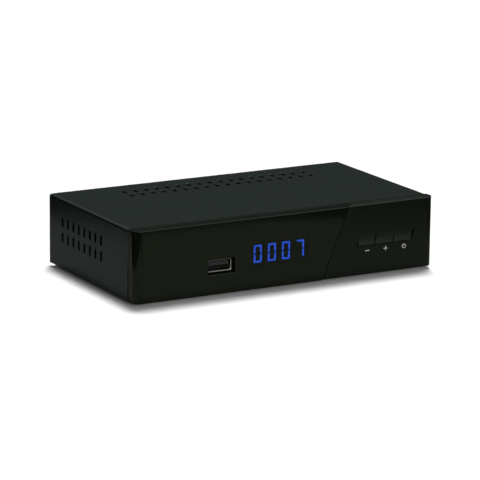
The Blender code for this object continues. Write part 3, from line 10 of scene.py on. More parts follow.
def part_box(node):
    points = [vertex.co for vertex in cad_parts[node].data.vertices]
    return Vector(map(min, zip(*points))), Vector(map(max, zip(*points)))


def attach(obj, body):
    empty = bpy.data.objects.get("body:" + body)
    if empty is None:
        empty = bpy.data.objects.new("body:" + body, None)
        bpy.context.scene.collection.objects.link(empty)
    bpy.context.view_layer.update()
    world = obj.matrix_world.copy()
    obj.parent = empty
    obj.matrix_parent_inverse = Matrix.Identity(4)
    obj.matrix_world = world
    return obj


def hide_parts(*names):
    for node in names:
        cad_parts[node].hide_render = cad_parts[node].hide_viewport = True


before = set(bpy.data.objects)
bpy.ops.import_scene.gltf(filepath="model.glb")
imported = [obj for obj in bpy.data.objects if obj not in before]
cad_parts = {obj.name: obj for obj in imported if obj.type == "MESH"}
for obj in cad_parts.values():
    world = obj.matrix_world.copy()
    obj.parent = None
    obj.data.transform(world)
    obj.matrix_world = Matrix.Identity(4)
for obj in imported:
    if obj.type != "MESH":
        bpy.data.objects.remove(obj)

bl_info = {
    "name": "Television receiver",
    "version": (1, 0, 0),
    "blender": (4, 5, 0),
    "location": "3D View > Sidebar > Receiver",
    "description": "Dresses the CAD model of a small television receiver",
    "category": "Object",
}

MM = 0.001
TO_REAR = Matrix.Rotation(-math.pi / 2, 4, "X")
OVERRUN = 1.0 * MM
SEAT_GAP = 0.3 * MM
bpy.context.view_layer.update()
COVER_LOW, COVER_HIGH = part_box("top_cover")
BACK_Y, TOP_Z, BASE_Z = COVER_HIGH.y, COVER_HIGH.z, COVER_LOW.z
HALF_WIDTH = COVER_HIGH.x
WINDOW_Y, SEAM_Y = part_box("front_window")[0].y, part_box("front_panel")[1].y
PANEL_Y = WINDOW_Y + 0.4 * MM
ROW_NAMES = ("channel_down", "channel_up", "power")
SHARP_ANGLE, ROUNDED_ANGLE = math.radians(38), math.radians(60)

# The stage, in metres and degrees. A tone runs from 0, black, to 1, white.
FLOOR_REACH, FLOOR_TONE, FLOOR_LIFT = 6.0, 0.93, 0.01
SHEET_HALF, SHEET_POWER, SHEET_EDGE = {"X": 0.158, "Y": 0.185}, 3.0, (0.9, 1.1)
SHEET_TONE, BENCH_TONE = 0.17, 0.02
WALL_FOOT, WALL_HEAD = (0.0, 0.02), (0.85, 1.0)
WALL_BETWEEN = ((0.28, 0.026), (0.37, 0.2), (0.56, 0.4))
ROOM_FILL = 0.07
CEILING_LEANS = {"ceiling_front": 0.17, "ceiling_rear": 0.35}
CEILING_SIDE, CEILING_POWER, CEILING_SPREAD = 0.16, 1.72, 15
SOFTBOX_PLACE, SOFTBOX_SIZE, SOFTBOX_POWER = (-0.12, -1.25, 0.28), 0.6, 9.0
SENSOR_WIDTH, FOCAL_LENGTH, CLIPPING = 36.0, 216.756, (0.05, 50.0)
CAMERA_PLACE = Vector((-697.36, -1244.22, 364.29)) * MM
CAMERA_ANGLES = (-29.326, 90 - 13.836, 0.597)


def linear(colour):
    """An sRGB hex colour as the linear values that Blender stores."""
    parts = [int(colour[index:index + 2], 16) / 255 for index in (1, 3, 5)]
    return [c / 12.92 if c <= 0.04045 else ((c + 0.055) / 1.055) ** 2.4 for c in parts]


# Sizes and colours that a user would change

def size(name, description, default):
    return bpy.props.FloatProperty(
        name=name, description=description, default=default, min=0.0, precision=5,
        subtype="DISTANCE", unit="LENGTH",
    )


def colour(name, description, default):
    return bpy.props.FloatVectorProperty(
        name=name, description=description, default=linear(default), size=3,
        subtype="COLOR", min=0.0, max=1.0,
    )


class ReceiverCase(bpy.types.PropertyGroup):
    sheet: size("Sheet", "Thickness of the folded steel", 0.8 * MM)
    bend: size("Bend", "Outer radius of a fold in the steel", 1.6 * MM)
    lip: size("Rear lip", "How far the cover turns down over the rear wall", 6.0 * MM)
    broken_edge: size("Broken edge", "Rounding of a coated sheet edge", 0.12 * MM)
    slot_length: size("Vent length", "Long way of a vent slot", 5.3 * MM)
    slot_width: size("Vent width", "Short way of a vent slot", 2.0 * MM)
    slot_pitch: size("Vent pitch", "Distance from one vent slot to the next", 6.15 * MM)
    row_pitch: size("Vent row pitch", "Distance between two rows of vents", 8.0 * MM)
    top_slots: bpy.props.IntProperty(
        name="Top vents", description="Slots in a row of the top", default=18, min=1)
    side_slots: bpy.props.IntProperty(
        name="Side vents", description="Slots in a row of a side", default=8, min=1)
    screw_reach: size("Screw reach", "Outer rear screws from the middle", 63.0 * MM)
    screw_drop: size("Screw drop", "Rear screws below the top", 3.4 * MM)


class ReceiverFront(bpy.types.PropertyGroup):
    corner: size("Panel corner", "Radius of the panel's rounded ends", 4.0 * MM)
    ledge: size("Ledge", "Depth of the panel's top behind the smoked plate", 2.6 * MM)
    groove: size("Shadow groove", "Width and depth of the groove along the cover", 0.35 * MM)
    fall: size("Top fall", "How far the smoked plate's top falls towards its face", 0.15 * MM)
    panel_edge: size("Panel edge", "Rounding along the panel's face", 0.6 * MM)
    window_edge: size("Window edge", "Rounding along the window's face", 0.3 * MM)
    window_wall: size("Window wall", "Thickness of the smoked plate", 1.6 * MM)
    window_end: size("Window end", "Where the smoked plate ends at its foot", 20.0 * MM)
    slant: bpy.props.FloatProperty(
        name="Slant", description="Lean of the seam and the keys, run over rise", default=0.4)
    rake: bpy.props.FloatProperty(
        name="Rake", description="Turn of the seam towards the rear, run over depth", default=0.87)
    key_start: size("Key row", "Left end of the key row at its floor", 39.3 * MM)
    key_pitch: size("Key pitch", "Distance from one key to the next", 10.8 * MM)
    key_height: size("Key height", "Height of the key row", 5.7 * MM)
    key_floor: size("Key floor", "Floor of the key row above the ground", 16.3 * MM)
    key_bevel: size("Key bevel", "Run and depth of the bevel at the row's left end", 0.9 * MM)
    key_scoop: size("Key scoop", "Depth of the finger scoop", 1.5 * MM)
    mark_height: size("Mark height", "Height of the marks under the keys", 2.4 * MM)


class ReceiverDisplay(bpy.types.PropertyGroup):
    figures: bpy.props.StringProperty(
        name="Figures", description="Plain number that the display shows", default="0007")
    figure_height: size("Figure height", "Height of a figure", 8.9 * MM)
    figure_width: size("Figure width", "Width of a figure", 4.4 * MM)
    figure_pitch: size("Figure pitch", "Distance from one figure to the next", 8.0 * MM)
    bar_width: size("Bar width", "Width of one bar of a figure", 0.85 * MM)
    glow: bpy.props.FloatProperty(
        name="Glow", description="Strength of the lit bars behind the smoked plate", default=46.0)


class ReceiverFinishes(bpy.types.PropertyGroup):
    coat: colour("Powder coat", "Baked coat of the cover", "#08120F")
    abs_black: colour("Moulded black", "ABS of the panel and its keys", "#121610")
    smoke: colour("Smoked plate", "Gloss plate over the display", "#0C1008")
    zinc: colour("Zinc", "Plated steel of the tray", "#8F928F")
    tin: colour("Tin", "Plated shells of the sockets", "#D2D2CB")
    nickel: colour("Nickel", "Plated brass of the aerial sockets", "#BDB7A8")
    laminate: colour("Board", "Solder mask of the boards", "#1E5A33")
    rubber: colour("Rubber", "Feet", "#191A1A")
    ink: colour("Ink", "Printed marks under the keys", "#D9DAD6")
    lit: colour("Lit bar", "Light of the display", "#2C60F2")


GROUPS = {
    "receiver_case": ReceiverCase,
    "receiver_front": ReceiverFront,
    "receiver_display": ReceiverDisplay,
    "receiver_finishes": ReceiverFinishes,
}


# Outlines

def front_view(name):
    """The middle, width and height of a CAD node, seen from the front."""
    low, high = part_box(name)
    return ((low.x + high.x) / 2, (low.z + high.z) / 2), high.x - low.x, high.z - low.z


def rear_seat(name):
    """Where a socket's axis starts at the rear wall, and how far the socket stands out."""
    low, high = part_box(name)
    return ((low.x + high.x) / 2, low.y, (low.z + high.z) / 2), high.y - low.y


def arc_points(centre, start, end, steps):
    """Points from one spoke to another round a centre, the shorter way."""
    first = math.atan2(start[1] - centre[1], start[0] - centre[0])
    last = math.atan2(end[1] - centre[1], end[0] - centre[0])
    turn = (last - first + math.pi) % (2 * math.pi) - math.pi
    radius = math.dist(centre, start)
    angles = [first + turn * step / steps for step in range(steps + 1)]
    return [(centre[0] + radius * math.cos(a), centre[1] + radius * math.sin(a)) for a in angles]


def filleted(corners, radii, steps=8):
    """An outline through these corners, with an arc of its own radius at each."""
    outline = []
    for index, (corner, radius) in enumerate(zip(corners, radii)):
        if radius <= 0:
            outline.append(corner)
            continue
        here = Vector(corner)
        before = (Vector(corners[index - 1]) - here).normalized()
        after = (Vector(corners[(index + 1) % len(corners)]) - here).normalized()
        half = before.angle(after) / 2
        centre = here + (before + after).normalized() * (radius / math.sin(half))
        reach = radius / math.tan(half)
        outline += arc_points(centre, here + before * reach, here + after * reach, steps)
    return outline


def rectangle(centre, width, height, radius=0.0, steps=6):
    """A rectangle about its centre, with one radius at its four corners."""
    x, z = centre
    corners = [
        (x - width / 2, z - height / 2), (x + width / 2, z - height / 2),
        (x + width / 2, z + height / 2), (x - width / 2, z + height / 2),
    ]
    return filleted(corners, [radius] * 4, steps)


def circle(centre, radius, steps=48):
    """A circle as an outline."""
    angles = [2 * math.pi * step / steps for step in range(steps)]
    return [(centre[0] + radius * math.cos(a), centre[1] + radius * math.sin(a)) for a in angles]


def leaning(left, width, floor, ceiling, slant):
    """A parallelogram whose ends lean; left is its corner on the floor."""
    lean = slant * (ceiling - floor)
    return [(left, floor), (left + width, floor), (left + width + lean, ceiling), (left + lean, ceiling)]


# Meshes

def linked(name, mesh):
    """Turns a bmesh into an object, with its faces outwards."""
    data = bpy.data.meshes.new(name)
    bmesh.ops.remove_doubles(mesh, verts=mesh.verts, dist=0.0001 * MM)
    bmesh.ops.recalc_face_normals(mesh, faces=mesh.faces)
    mesh.to_mesh(data)
    mesh.free()
    thing = bpy.data.objects.new(name, data)
    bpy.context.scene.collection.objects.link(thing)
    return thing


def spot(axis, place, point):
    """The point in space at a place along an axis; point lies across it, in X, Y, Z order."""
    first, second = point
    return {"X": (place, first, second), "Y": (first, place, second), "Z": (first, second, place)}[axis]


def loft(name, axis, sections):
    """A closed solid through outlines of one count, each at its place along the axis."""
    mesh = bmesh.new()
    rings = [[mesh.verts.new(spot(axis, place, p)) for p in outline] for place, outline in sections]
    mesh.faces.new(rings[0])
    mesh.faces.new(rings[-1])
    for lower, upper in zip(rings, rings[1:]):
        for index, corner in enumerate(lower):
            after = (index + 1) % len(lower)
            mesh.faces.new((corner, lower[after], upper[after], upper[index]))
    return linked(name, mesh)


def prism(name, axis, low, high, outline):
    """An outline drawn out along an axis."""
    return loft(name, axis, [(low, outline), (high, outline)])


def block(name, low, high):
    """A box between two corners, for cutting with."""
    outline = [(low[0], low[1]), (high[0], low[1]), (high[0], high[1]), (low[0], high[1])]
    return prism(name, "Z", low[2], high[2], outline)


def turned(name, profile, steps=64):
    """A solid of revolution about its own +Z, from (radius, height) points."""
    mesh = bmesh.new()
    points = [mesh.verts.new((radius, 0, height)) for radius, height in profile]
    edges = [mesh.edges.new(pair) for pair in zip(points, points[1:])]
    if profile[0][0] > 0:
        edges.append(mesh.edges.new((points[-1], points[0])))
    bmesh.ops.spin(
        mesh, geom=points + edges, cent=(0, 0, 0), axis=(0, 0, 1),
        angle=2 * math.pi, steps=steps, use_merge=True,
    )
    return linked(name, mesh)


def placed(thing, position, pointing=Matrix.Identity(4)):
    """Puts a piece where it belongs, with the place in its mesh."""
    thing.data.transform(Matrix.Translation(Vector(position)) @ pointing)
    return thing


def evaluated(thing):
    """Replaces an object's mesh by what its modifiers make of it."""
    bpy.context.view_layer.update()
    graph = bpy.context.evaluated_depsgraph_get()
    made = bpy.data.meshes.new_from_object(thing.evaluated_get(graph))
    thing.modifiers.clear()
    before = thing.data
    thing.data = made
    bpy.data.meshes.remove(before)
    return thing


def combine(target, operation, *tools):
    """Applies Booleans with tool solids, and removes the tools."""
    for tool in tools:
        step = target.modifiers.new("combine", "BOOLEAN")
        step.operation, step.solver, step.object = operation, "EXACT", tool
    evaluated(target)
    for tool in tools:
        bpy.data.meshes.remove(tool.data)
    return target


def joined(name, things):
    """Several loose solids as one object."""
    mesh = bmesh.new()
    for thing in things:
        mesh.from_mesh(thing.data)
        bpy.data.meshes.remove(thing.data)
    data = bpy.data.meshes.new(name)
    mesh.to_mesh(data)
    mesh.free()
    thing = bpy.data.objects.new(name, data)
    bpy.context.scene.collection.objects.link(thing)
    return thing


def smoothed(thing, edge=0.0):
    """Rounds a piece's sharp edges and shades it smooth between those that stay."""
    if edge:
        bevel = thing.modifiers.new("edge", "BEVEL")
        bevel.width, bevel.segments = edge, 2
        bevel.limit_method, bevel.angle_limit = "ANGLE", SHARP_ANGLE
        bevel.miter_outer = "MITER_ARC"
    thing.data.shade_smooth()
    thing.data.set_sharp_from_angle(angle=ROUNDED_ANGLE if edge else SHARP_ANGLE)
    weighted = thing.modifiers.new("normals", "WEIGHTED_NORMAL")
    weighted.keep_sharp = True
    return evaluated(thing)


def finished(thing, material, body, slot, *nodes):
    """Gives a piece its finish and its body, and hides the CAD nodes that it stands for."""
    thing.data.materials.clear()
    thing.data.materials.append(material)
    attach(thing, body)
    if nodes:
        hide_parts(*nodes)
    return thing


# Node trees

def add(tree, kind, settings=None, links=None):
    """Adds a node; a setting is one of its properties or the value of one of its sockets."""
    node = tree.nodes.new(kind)
    for key, value in (settings or {}).items():
        if isinstance(key, str) and hasattr(node, key):
            setattr(node, key, value)
        else:
            node.inputs[key].default_value = value
    for key, source in (links or {}).items():
        tree.links.new(source, node.inputs[key])
    return node


def new_tree(name, inputs):
    """A Geometry Nodes tree with named inputs, and its input node."""
    tree = bpy.data.node_groups.new(name, "GeometryNodeTree")
    tree.interface.new_socket("Geometry", in_out="OUTPUT", socket_type="NodeSocketGeometry")
    for label, kind in [("Geometry", "NodeSocketGeometry"), *inputs]:
        tree.interface.new_socket(label, in_out="INPUT", socket_type=kind)
    return tree, add(tree, "NodeGroupInput")


def with_tree(thing, build, values):
    """Puts a Geometry Nodes tree, which is built once, on an object, and sets its inputs."""
    tree = bpy.data.node_groups.get(build.__name__) or build(build.__name__)
    step = thing.modifiers.new(tree.name, "NODES")
    step.node_group = tree
    for item in tree.interface.items_tree:
        if item.in_out == "INPUT" and item.name in values:
            step[item.identifier] = values[item.name]


def slot_rows(name):
    """Punches rows of round-ended slots through the piece that it is on."""
    tree, given = new_tree(name, [
        ("Slot length", "NodeSocketFloat"), ("Slot width", "NodeSocketFloat"),
        ("Slots", "NodeSocketInt"), ("Slot pitch", "NodeSocketFloat"),
        ("Rows", "NodeSocketInt"), ("Row pitch", "NodeSocketFloat"),
        ("Middle", "NodeSocketVector"), ("Turn", "NodeSocketVector"),
        ("Depth", "NodeSocketFloat"), ("Finish", "NodeSocketMaterial"),
    ])
    g = given.outputs
    radius = add(tree, "ShaderNodeMath", {"operation": "MULTIPLY", 1: 0.495}, {0: g["Slot width"]})
    sheet = add(tree, "GeometryNodeCurvePrimitiveQuadrilateral", {},
                {"Width": g["Slot width"], "Height": g["Slot length"]})
    stadium = add(tree, "GeometryNodeFilletCurve", {"mode": "POLY", "Count": 7},
                  {"Curve": sheet.outputs[0], "Radius": radius.outputs[0]})
    half = add(tree, "ShaderNodeMath", {"operation": "MULTIPLY", 1: 0.5}, {0: g["Depth"]})
    under = add(tree, "ShaderNodeMath", {"operation": "MULTIPLY", 1: -0.5}, {0: g["Depth"]})
    low = add(tree, "ShaderNodeCombineXYZ", {}, {"Z": under.outputs[0]})
    high = add(tree, "ShaderNodeCombineXYZ", {}, {"Z": half.outputs[0]})
    line = add(tree, "GeometryNodeCurvePrimitiveLine", {},
               {"Start": low.outputs[0], "End": high.outputs[0]})
    punch = add(tree, "GeometryNodeCurveToMesh", {"Fill Caps": True},
                {"Curve": line.outputs[0], "Profile Curve": stadium.outputs[0]})
    fewer = add(tree, "ShaderNodeMath", {"operation": "SUBTRACT", 1: 1.0}, {0: g["Slots"]})
    rows_less = add(tree, "ShaderNodeMath", {"operation": "SUBTRACT", 1: 1.0}, {0: g["Rows"]})
    wide = add(tree, "ShaderNodeMath", {"operation": "MULTIPLY"},
               {0: fewer.outputs[0], 1: g["Slot pitch"]})
    deep = add(tree, "ShaderNodeMath", {"operation": "MULTIPLY"},
               {0: rows_less.outputs[0], 1: g["Row pitch"]})
    grid = add(tree, "GeometryNodeMeshGrid", {}, {
        "Size X": wide.outputs[0], "Size Y": deep.outputs[0],
        "Vertices X": g["Slots"], "Vertices Y": g["Rows"],
    })
    punches = add(tree, "GeometryNodeInstanceOnPoints", {},
                  {"Points": grid.outputs[0], "Instance": punch.outputs[0]})
    there = add(tree, "GeometryNodeTransform", {}, {
        "Geometry": punches.outputs[0], "Translation": g["Middle"], "Rotation": g["Turn"],
    })
    loose = add(tree, "GeometryNodeRealizeInstances", {}, {"Geometry": there.outputs[0]})
    cut = add(tree, "GeometryNodeMeshBoolean", {"operation": "DIFFERENCE", "solver": "EXACT"},
              {0: g["Geometry"], 1: loose.outputs[0]})
    real = add(tree, "GeometryNodeRealizeInstances", {}, {"Geometry": cut.outputs[0]})
    coat = add(tree, "GeometryNodeSetMaterial", {},
               {"Geometry": real.outputs[0], "Material": g["Finish"]})
    add(tree, "NodeGroupOutput", {}, {0: coat.outputs[0]})
    return tree


def pieces_at_places(name):
    """Sets one small piece at each point, turned as the point says."""
    tree, given = new_tree(name, [
        ("Piece", "NodeSocketObject"), ("Finish", "NodeSocketMaterial"),
    ])
    piece = add(tree, "GeometryNodeObjectInfo", {}, {"Object": given.outputs["Piece"]})
    turn = add(tree, "GeometryNodeInputNamedAttribute", {"data_type": "FLOAT_VECTOR", "Name": "turn"})
    angle = add(tree, "FunctionNodeEulerToRotation", {}, {0: turn.outputs[0]})
    spread = add(tree, "GeometryNodeInstanceOnPoints", {}, {
        "Points": given.outputs["Geometry"], "Instance": piece.outputs["Geometry"],
        "Rotation": angle.outputs[0],
    })
    real = add(tree, "GeometryNodeRealizeInstances", {}, {"Geometry": spread.outputs[0]})
    coat = add(tree, "GeometryNodeSetMaterial", {},
               {"Geometry": real.outputs[0], "Material": given.outputs["Finish"]})
    add(tree, "NodeGroupOutput", {}, {0: coat.outputs[0]})
    return tree


def at_places(name, piece, places, material):
    """One mesh of a small piece repeated at (position, turn) places."""
    data = bpy.data.meshes.new(name)
    data.from_pydata([p for p, _ in places], [], [])
    turns = data.attributes.new("turn", "FLOAT_VECTOR", "POINT")
    turns.data.foreach_set("vector", [v for _, turn in places for v in turn])
    thing = bpy.data.objects.new(name, data)
    bpy.context.scene.collection.objects.link(thing)
    with_tree(thing, pieces_at_places, {"Piece": piece, "Finish": material})
    evaluated(thing)
    bpy.data.meshes.remove(piece.data)
    return thing


# Finishes

def started(name, base, roughness, metallic=0.0):
    """A material with its shader, and object coordinates in millimetres."""
    material = bpy.data.materials.new(name)
    material.use_nodes = True
    tree = material.node_tree
    tree.nodes.clear()
    shader = add(tree, "ShaderNodeBsdfPrincipled", {
        "Base Color": (*base, 1.0), "Roughness": roughness, "Metallic": metallic,
    })
    add(tree, "ShaderNodeOutputMaterial", {}, {"Surface": shader.outputs[0]})
    coords = add(tree, "ShaderNodeTexCoord")
    mm = add(tree, "ShaderNodeMapping", {"Scale": (1 / MM,) * 3}, {"Vector": coords.outputs["Object"]})
    material.diffuse_color = (*base, 1.0)
    return material, tree, shader, mm.outputs[0]


def shaded(tree, shader, base, factor, darker, lighter):
    """Lets the base colour wander between a darker and a lighter shade of itself."""
    mix = add(tree, "ShaderNodeMix", {
        "data_type": "RGBA", 6: (*[c * darker for c in base], 1.0),
        7: (*[min(1.0, c * lighter) for c in base], 1.0),
    }, {0: factor})
    tree.links.new(mix.outputs[2], shader.inputs["Base Color"])


def relief(tree, shader, height, depth):
    """Lets a height pattern, deep as given in metres, turn the surface."""
    bump = add(tree, "ShaderNodeBump", {"Distance": depth}, {"Height": height})
    tree.links.new(bump.outputs[0], shader.inputs["Normal"])


def ranged(tree, shader, factor, low, high):
    """Lets the roughness wander between two values."""
    span = add(tree, "ShaderNodeMapRange", {3: low, 4: high}, {0: factor})
    tree.links.new(span.outputs[0], shader.inputs["Roughness"])


def powder_coated_steel(base):
    # Polyester powder, dusted on and baked: it flows into a satin skin with an orange peel about
    # a millimetre across, and finer grit that is drawn at 0.4 mm because the real 0.1 mm can't show.
    material, tree, shader, mm = started("powder_coated_steel", base, 0.3)
    peel = add(tree, "ShaderNodeTexNoise", {"Scale": 0.9, "Detail": 2.0}, {"Vector": mm})
    grit = add(tree, "ShaderNodeTexNoise", {"Scale": 2.4, "Detail": 3.0}, {"Vector": mm})
    cloud = add(tree, "ShaderNodeTexNoise", {"Scale": 0.05, "Detail": 3.0}, {"Vector": mm})
    both = add(tree, "ShaderNodeMath", {"operation": "MULTIPLY_ADD", 1: 0.6},
               {0: grit.outputs[0], 2: peel.outputs[0]})
    shaded(tree, shader, base, cloud.outputs[0], 0.85, 1.15)
    ranged(tree, shader, grit.outputs[0], 0.2, 0.28)
    relief(tree, shader, both.outputs[0], 0.008 * MM)
    shader.inputs["Specular Tint"].default_value = (0.7, 1.0, 0.92, 1.0)
    return material


def moulded_abs(name, base, low, high, spec):
    # ABS injected against spark-eroded steel: a fine even grain, about 0.3 mm where it shows, which
    # dulls the gloss a little, and long soft flow marks that change the gloss rather than the colour.
    material, tree, shader, mm = started(name, base, low)
    grain = add(tree, "ShaderNodeTexNoise", {"Scale": 3.2, "Detail": 3.0}, {"Vector": mm})
    flow = add(tree, "ShaderNodeTexNoise", {"Scale": 0.04, "Detail": 2.0, "Distortion": 0.6},
               {"Vector": mm})
    shaded(tree, shader, base, grain.outputs[0], 0.9, 1.12)
    ranged(tree, shader, flow.outputs[0], low, high)
    relief(tree, shader, grain.outputs[0], 0.006 * MM)
    shader.inputs["Specular IOR Level"].default_value = spec
    shader.inputs["Specular Tint"].default_value = (0.85, 1.0, 0.75, 1.0)
    return material


def smoked_plate(base, middle, half):
    # Clear acrylic-like plate moulded in a polished tool, tinted black, with a black mask printed
    # behind it that is left out in front of the display. Gloss, with hair-fine wiping marks.
    material, tree, shader, mm = started("smoked_plate", base, 0.07)
    shader.inputs["IOR"].default_value = 1.49
    shader.inputs["Specular Tint"].default_value = (0.87, 1.0, 0.72, 1.0)
    parts = add(tree, "ShaderNodeSeparateXYZ", {}, {"Vector": mm})
    edges = []
    for axis, centre, reach in zip("XZ", middle, half):
        off = add(tree, "ShaderNodeMath", {"operation": "SUBTRACT", 1: centre / MM},
                  {0: parts.outputs[axis]})
        away = add(tree, "ShaderNodeMath", {"operation": "ABSOLUTE"}, {0: off.outputs[0]})
        edges.append(add(tree, "ShaderNodeMapRange", {
            "interpolation_type": "SMOOTHSTEP",
            1: reach / MM - 1.0, 2: reach / MM + 1.0, 3: 1.0, 4: 0.0,
        }, {0: away.outputs[0]}))
    clear = add(tree, "ShaderNodeMath", {"operation": "MULTIPLY"},
                {0: edges[0].outputs[0], 1: edges[1].outputs[0]})
    alpha = add(tree, "ShaderNodeMapRange", {3: 1.0, 4: 0.88}, {0: clear.outputs[0]})
    tree.links.new(alpha.outputs[0], shader.inputs["Alpha"])
    wipe = add(tree, "ShaderNodeTexNoise", {"Scale": 0.25, "Detail": 4.0}, {"Vector": mm})
    ranged(tree, shader, wipe.outputs[0], 0.05, 0.11)
    return material


def plated_metal(name, base, low, high, stretch, depth):
    # Sheet or bar plated with zinc, tin or nickel: rolling or turning lines run one way under a
    # thin plating, and handling leaves cloudy patches in its gloss.
    material, tree, shader, mm = started(name, base, low, 1.0)
    long_way = add(tree, "ShaderNodeMapping", {"Scale": stretch}, {"Vector": mm})
    lines = add(tree, "ShaderNodeTexNoise", {"Scale": 3.0, "Detail": 4.0},
                {"Vector": long_way.outputs[0]})
    cloud = add(tree, "ShaderNodeTexNoise", {"Scale": 0.12, "Detail": 4.0}, {"Vector": mm})
    shaded(tree, shader, base, cloud.outputs[0], 0.85, 1.1)
    ranged(tree, shader, cloud.outputs[0], low, high)
    relief(tree, shader, lines.outputs[0], depth)
    return material


def rubber(base):
    # Moulded nitrile rubber: matt, with a faint bloom and specks of dust.
    material, tree, shader, mm = started("moulded_rubber", base, 0.8)
    bloom = add(tree, "ShaderNodeTexNoise", {"Scale": 0.7, "Detail": 5.0}, {"Vector": mm})
    shaded(tree, shader, base, bloom.outputs[0], 0.8, 1.6)
    ranged(tree, shader, bloom.outputs[0], 0.7, 0.92)
    relief(tree, shader, bloom.outputs[0], 0.02 * MM)
    return material


def solder_masked_board(base):
    # Glass-epoxy laminate under green solder mask: copper tracks stand up under it in straight runs,
    # about 0.5 mm wide, and show as a lighter green.
    material, tree, shader, mm = started("solder_masked_board", base, 0.35)
    tracks = add(tree, "ShaderNodeTexBrick", {
        "offset": 0.37, "Color1": (1, 1, 1, 1), "Color2": (0.8, 0.8, 0.8, 1), "Mortar": (0, 0, 0, 1),
        "Scale": 1.0, "Mortar Size": 0.12, "Brick Width": 6.3, "Row Height": 1.3,
    }, {"Vector": mm})
    shaded(tree, shader, base, tracks.outputs["Color"], 0.7, 1.25)
    relief(tree, shader, tracks.outputs["Color"], 0.03 * MM)
    return material


def moulded_resin(name, base, low, high):
    # Filled resin from a matt tool, as on chips, switches and insulators: even, with a fine tooth.
    material, tree, shader, mm = started(name, base, low)
    tooth = add(tree, "ShaderNodeTexNoise", {"Scale": 4.0, "Detail": 2.0}, {"Vector": mm})
    shaded(tree, shader, base, tooth.outputs[0], 0.88, 1.14)
    ranged(tree, shader, tooth.outputs[0], low, high)
    relief(tree, shader, tooth.outputs[0], 0.01 * MM)
    return material


def lit_bar(base, strength):
    # A light pipe filled with frosted resin over a blue diode: the frost makes its light a little
    # uneven.
    material, tree, shader, mm = started("lit_light_pipe", base, 0.4)
    frost = add(tree, "ShaderNodeTexNoise", {"Scale": 1.5, "Detail": 2.0}, {"Vector": mm})
    glow = add(tree, "ShaderNodeMix", {
        "data_type": "RGBA", 6: (*[c * 0.85 for c in base], 1.0), 7: (*base, 1.0),
    }, {0: frost.outputs[0]})
    tree.links.new(glow.outputs[2], shader.inputs["Emission Color"])
    shader.inputs["Emission Strength"].default_value = strength
    return material


def unlit_bar():
    # The same light pipe with no light in it: milky grey, matt.
    base = linear("#30333A")
    material, tree, shader, mm = started("unlit_light_pipe", base, 0.5)
    frost = add(tree, "ShaderNodeTexNoise", {"Scale": 1.5, "Detail": 2.0}, {"Vector": mm})
    shaded(tree, shader, base, frost.outputs[0], 0.9, 1.1)
    return material


def screen_ink(base):
    # Screen-printed ink: opaque and matt, thinner at the mesh's threads, drawn at 0.3 mm.
    material, tree, shader, mm = started("screen_ink", base, 0.6)
    mesh = add(tree, "ShaderNodeTexNoise", {"Scale": 3.3, "Detail": 2.0}, {"Vector": mm})
    shaded(tree, shader, base, mesh.outputs[0], 0.8, 1.05)
    return material


def all_finishes(scene):
    """Every finish of the receiver by name, made once."""
    made = bpy.data.materials
    if "powder_coated_steel" not in made:
        f = scene.receiver_finishes
        powder_coated_steel(f.coat)
        moulded_abs("moulded_panel_abs", f.abs_black, 0.18, 0.26, 0.3)
        moulded_abs("moulded_key_abs", f.abs_black, 0.26, 0.36, 0.5)
        middle, wide, tall = front_view("display_module")
        smoked_plate(f.smoke, middle, (wide / 2, tall / 2))
        gold, dark = linear("#C9A24A"), linear("#2A2C2E")
        for name, base, low, high, stretch, depth in (
            ("zinc_plated_steel", f.zinc, 0.3, 0.46, (0.06, 1.0, 1.0), 0.01),
            ("tin_plated_steel", f.tin, 0.14, 0.24, (1.0, 0.06, 1.0), 0.004),
            ("nickel_plated_brass", f.nickel, 0.16, 0.28, (0.05, 1.0, 0.05), 0.006),
            ("gold_flashed_contact", gold, 0.18, 0.3, (1.0, 0.1, 1.0), 0.002),
            ("black_anodised_aluminium", dark, 0.4, 0.52, (1.0, 0.04, 1.0), 0.01),
        ):
            plated_metal(name, base, low, high, stretch, depth * MM)
        rubber(f.rubber)
        solder_masked_board(f.laminate)
        for name, base, low, high in (
            ("moulded_epoxy", "#1B1C1E", 0.45, 0.6), ("display_epoxy", "#08090B", 0.35, 0.5),
            ("infrared_resin", "#120C14", 0.12, 0.2), ("black_socket_plastic", "#0B0B0C", 0.5, 0.62),
            ("white_polythene", "#DCDAD0", 0.4, 0.5), ("orange_abs", "#C8641E", 0.35, 0.45),
            ("capacitor_sleeve", "#20242E", 0.3, 0.42),
            ("grey_ribbon_insulation", "#8B8D91", 0.5, 0.62),
        ):
            moulded_resin(name, linear(base), low, high)
        lit_bar(f.lit, scene.receiver_display.glow)
        unlit_bar()
        screen_ink(f.ink)
    return made


# Pieces

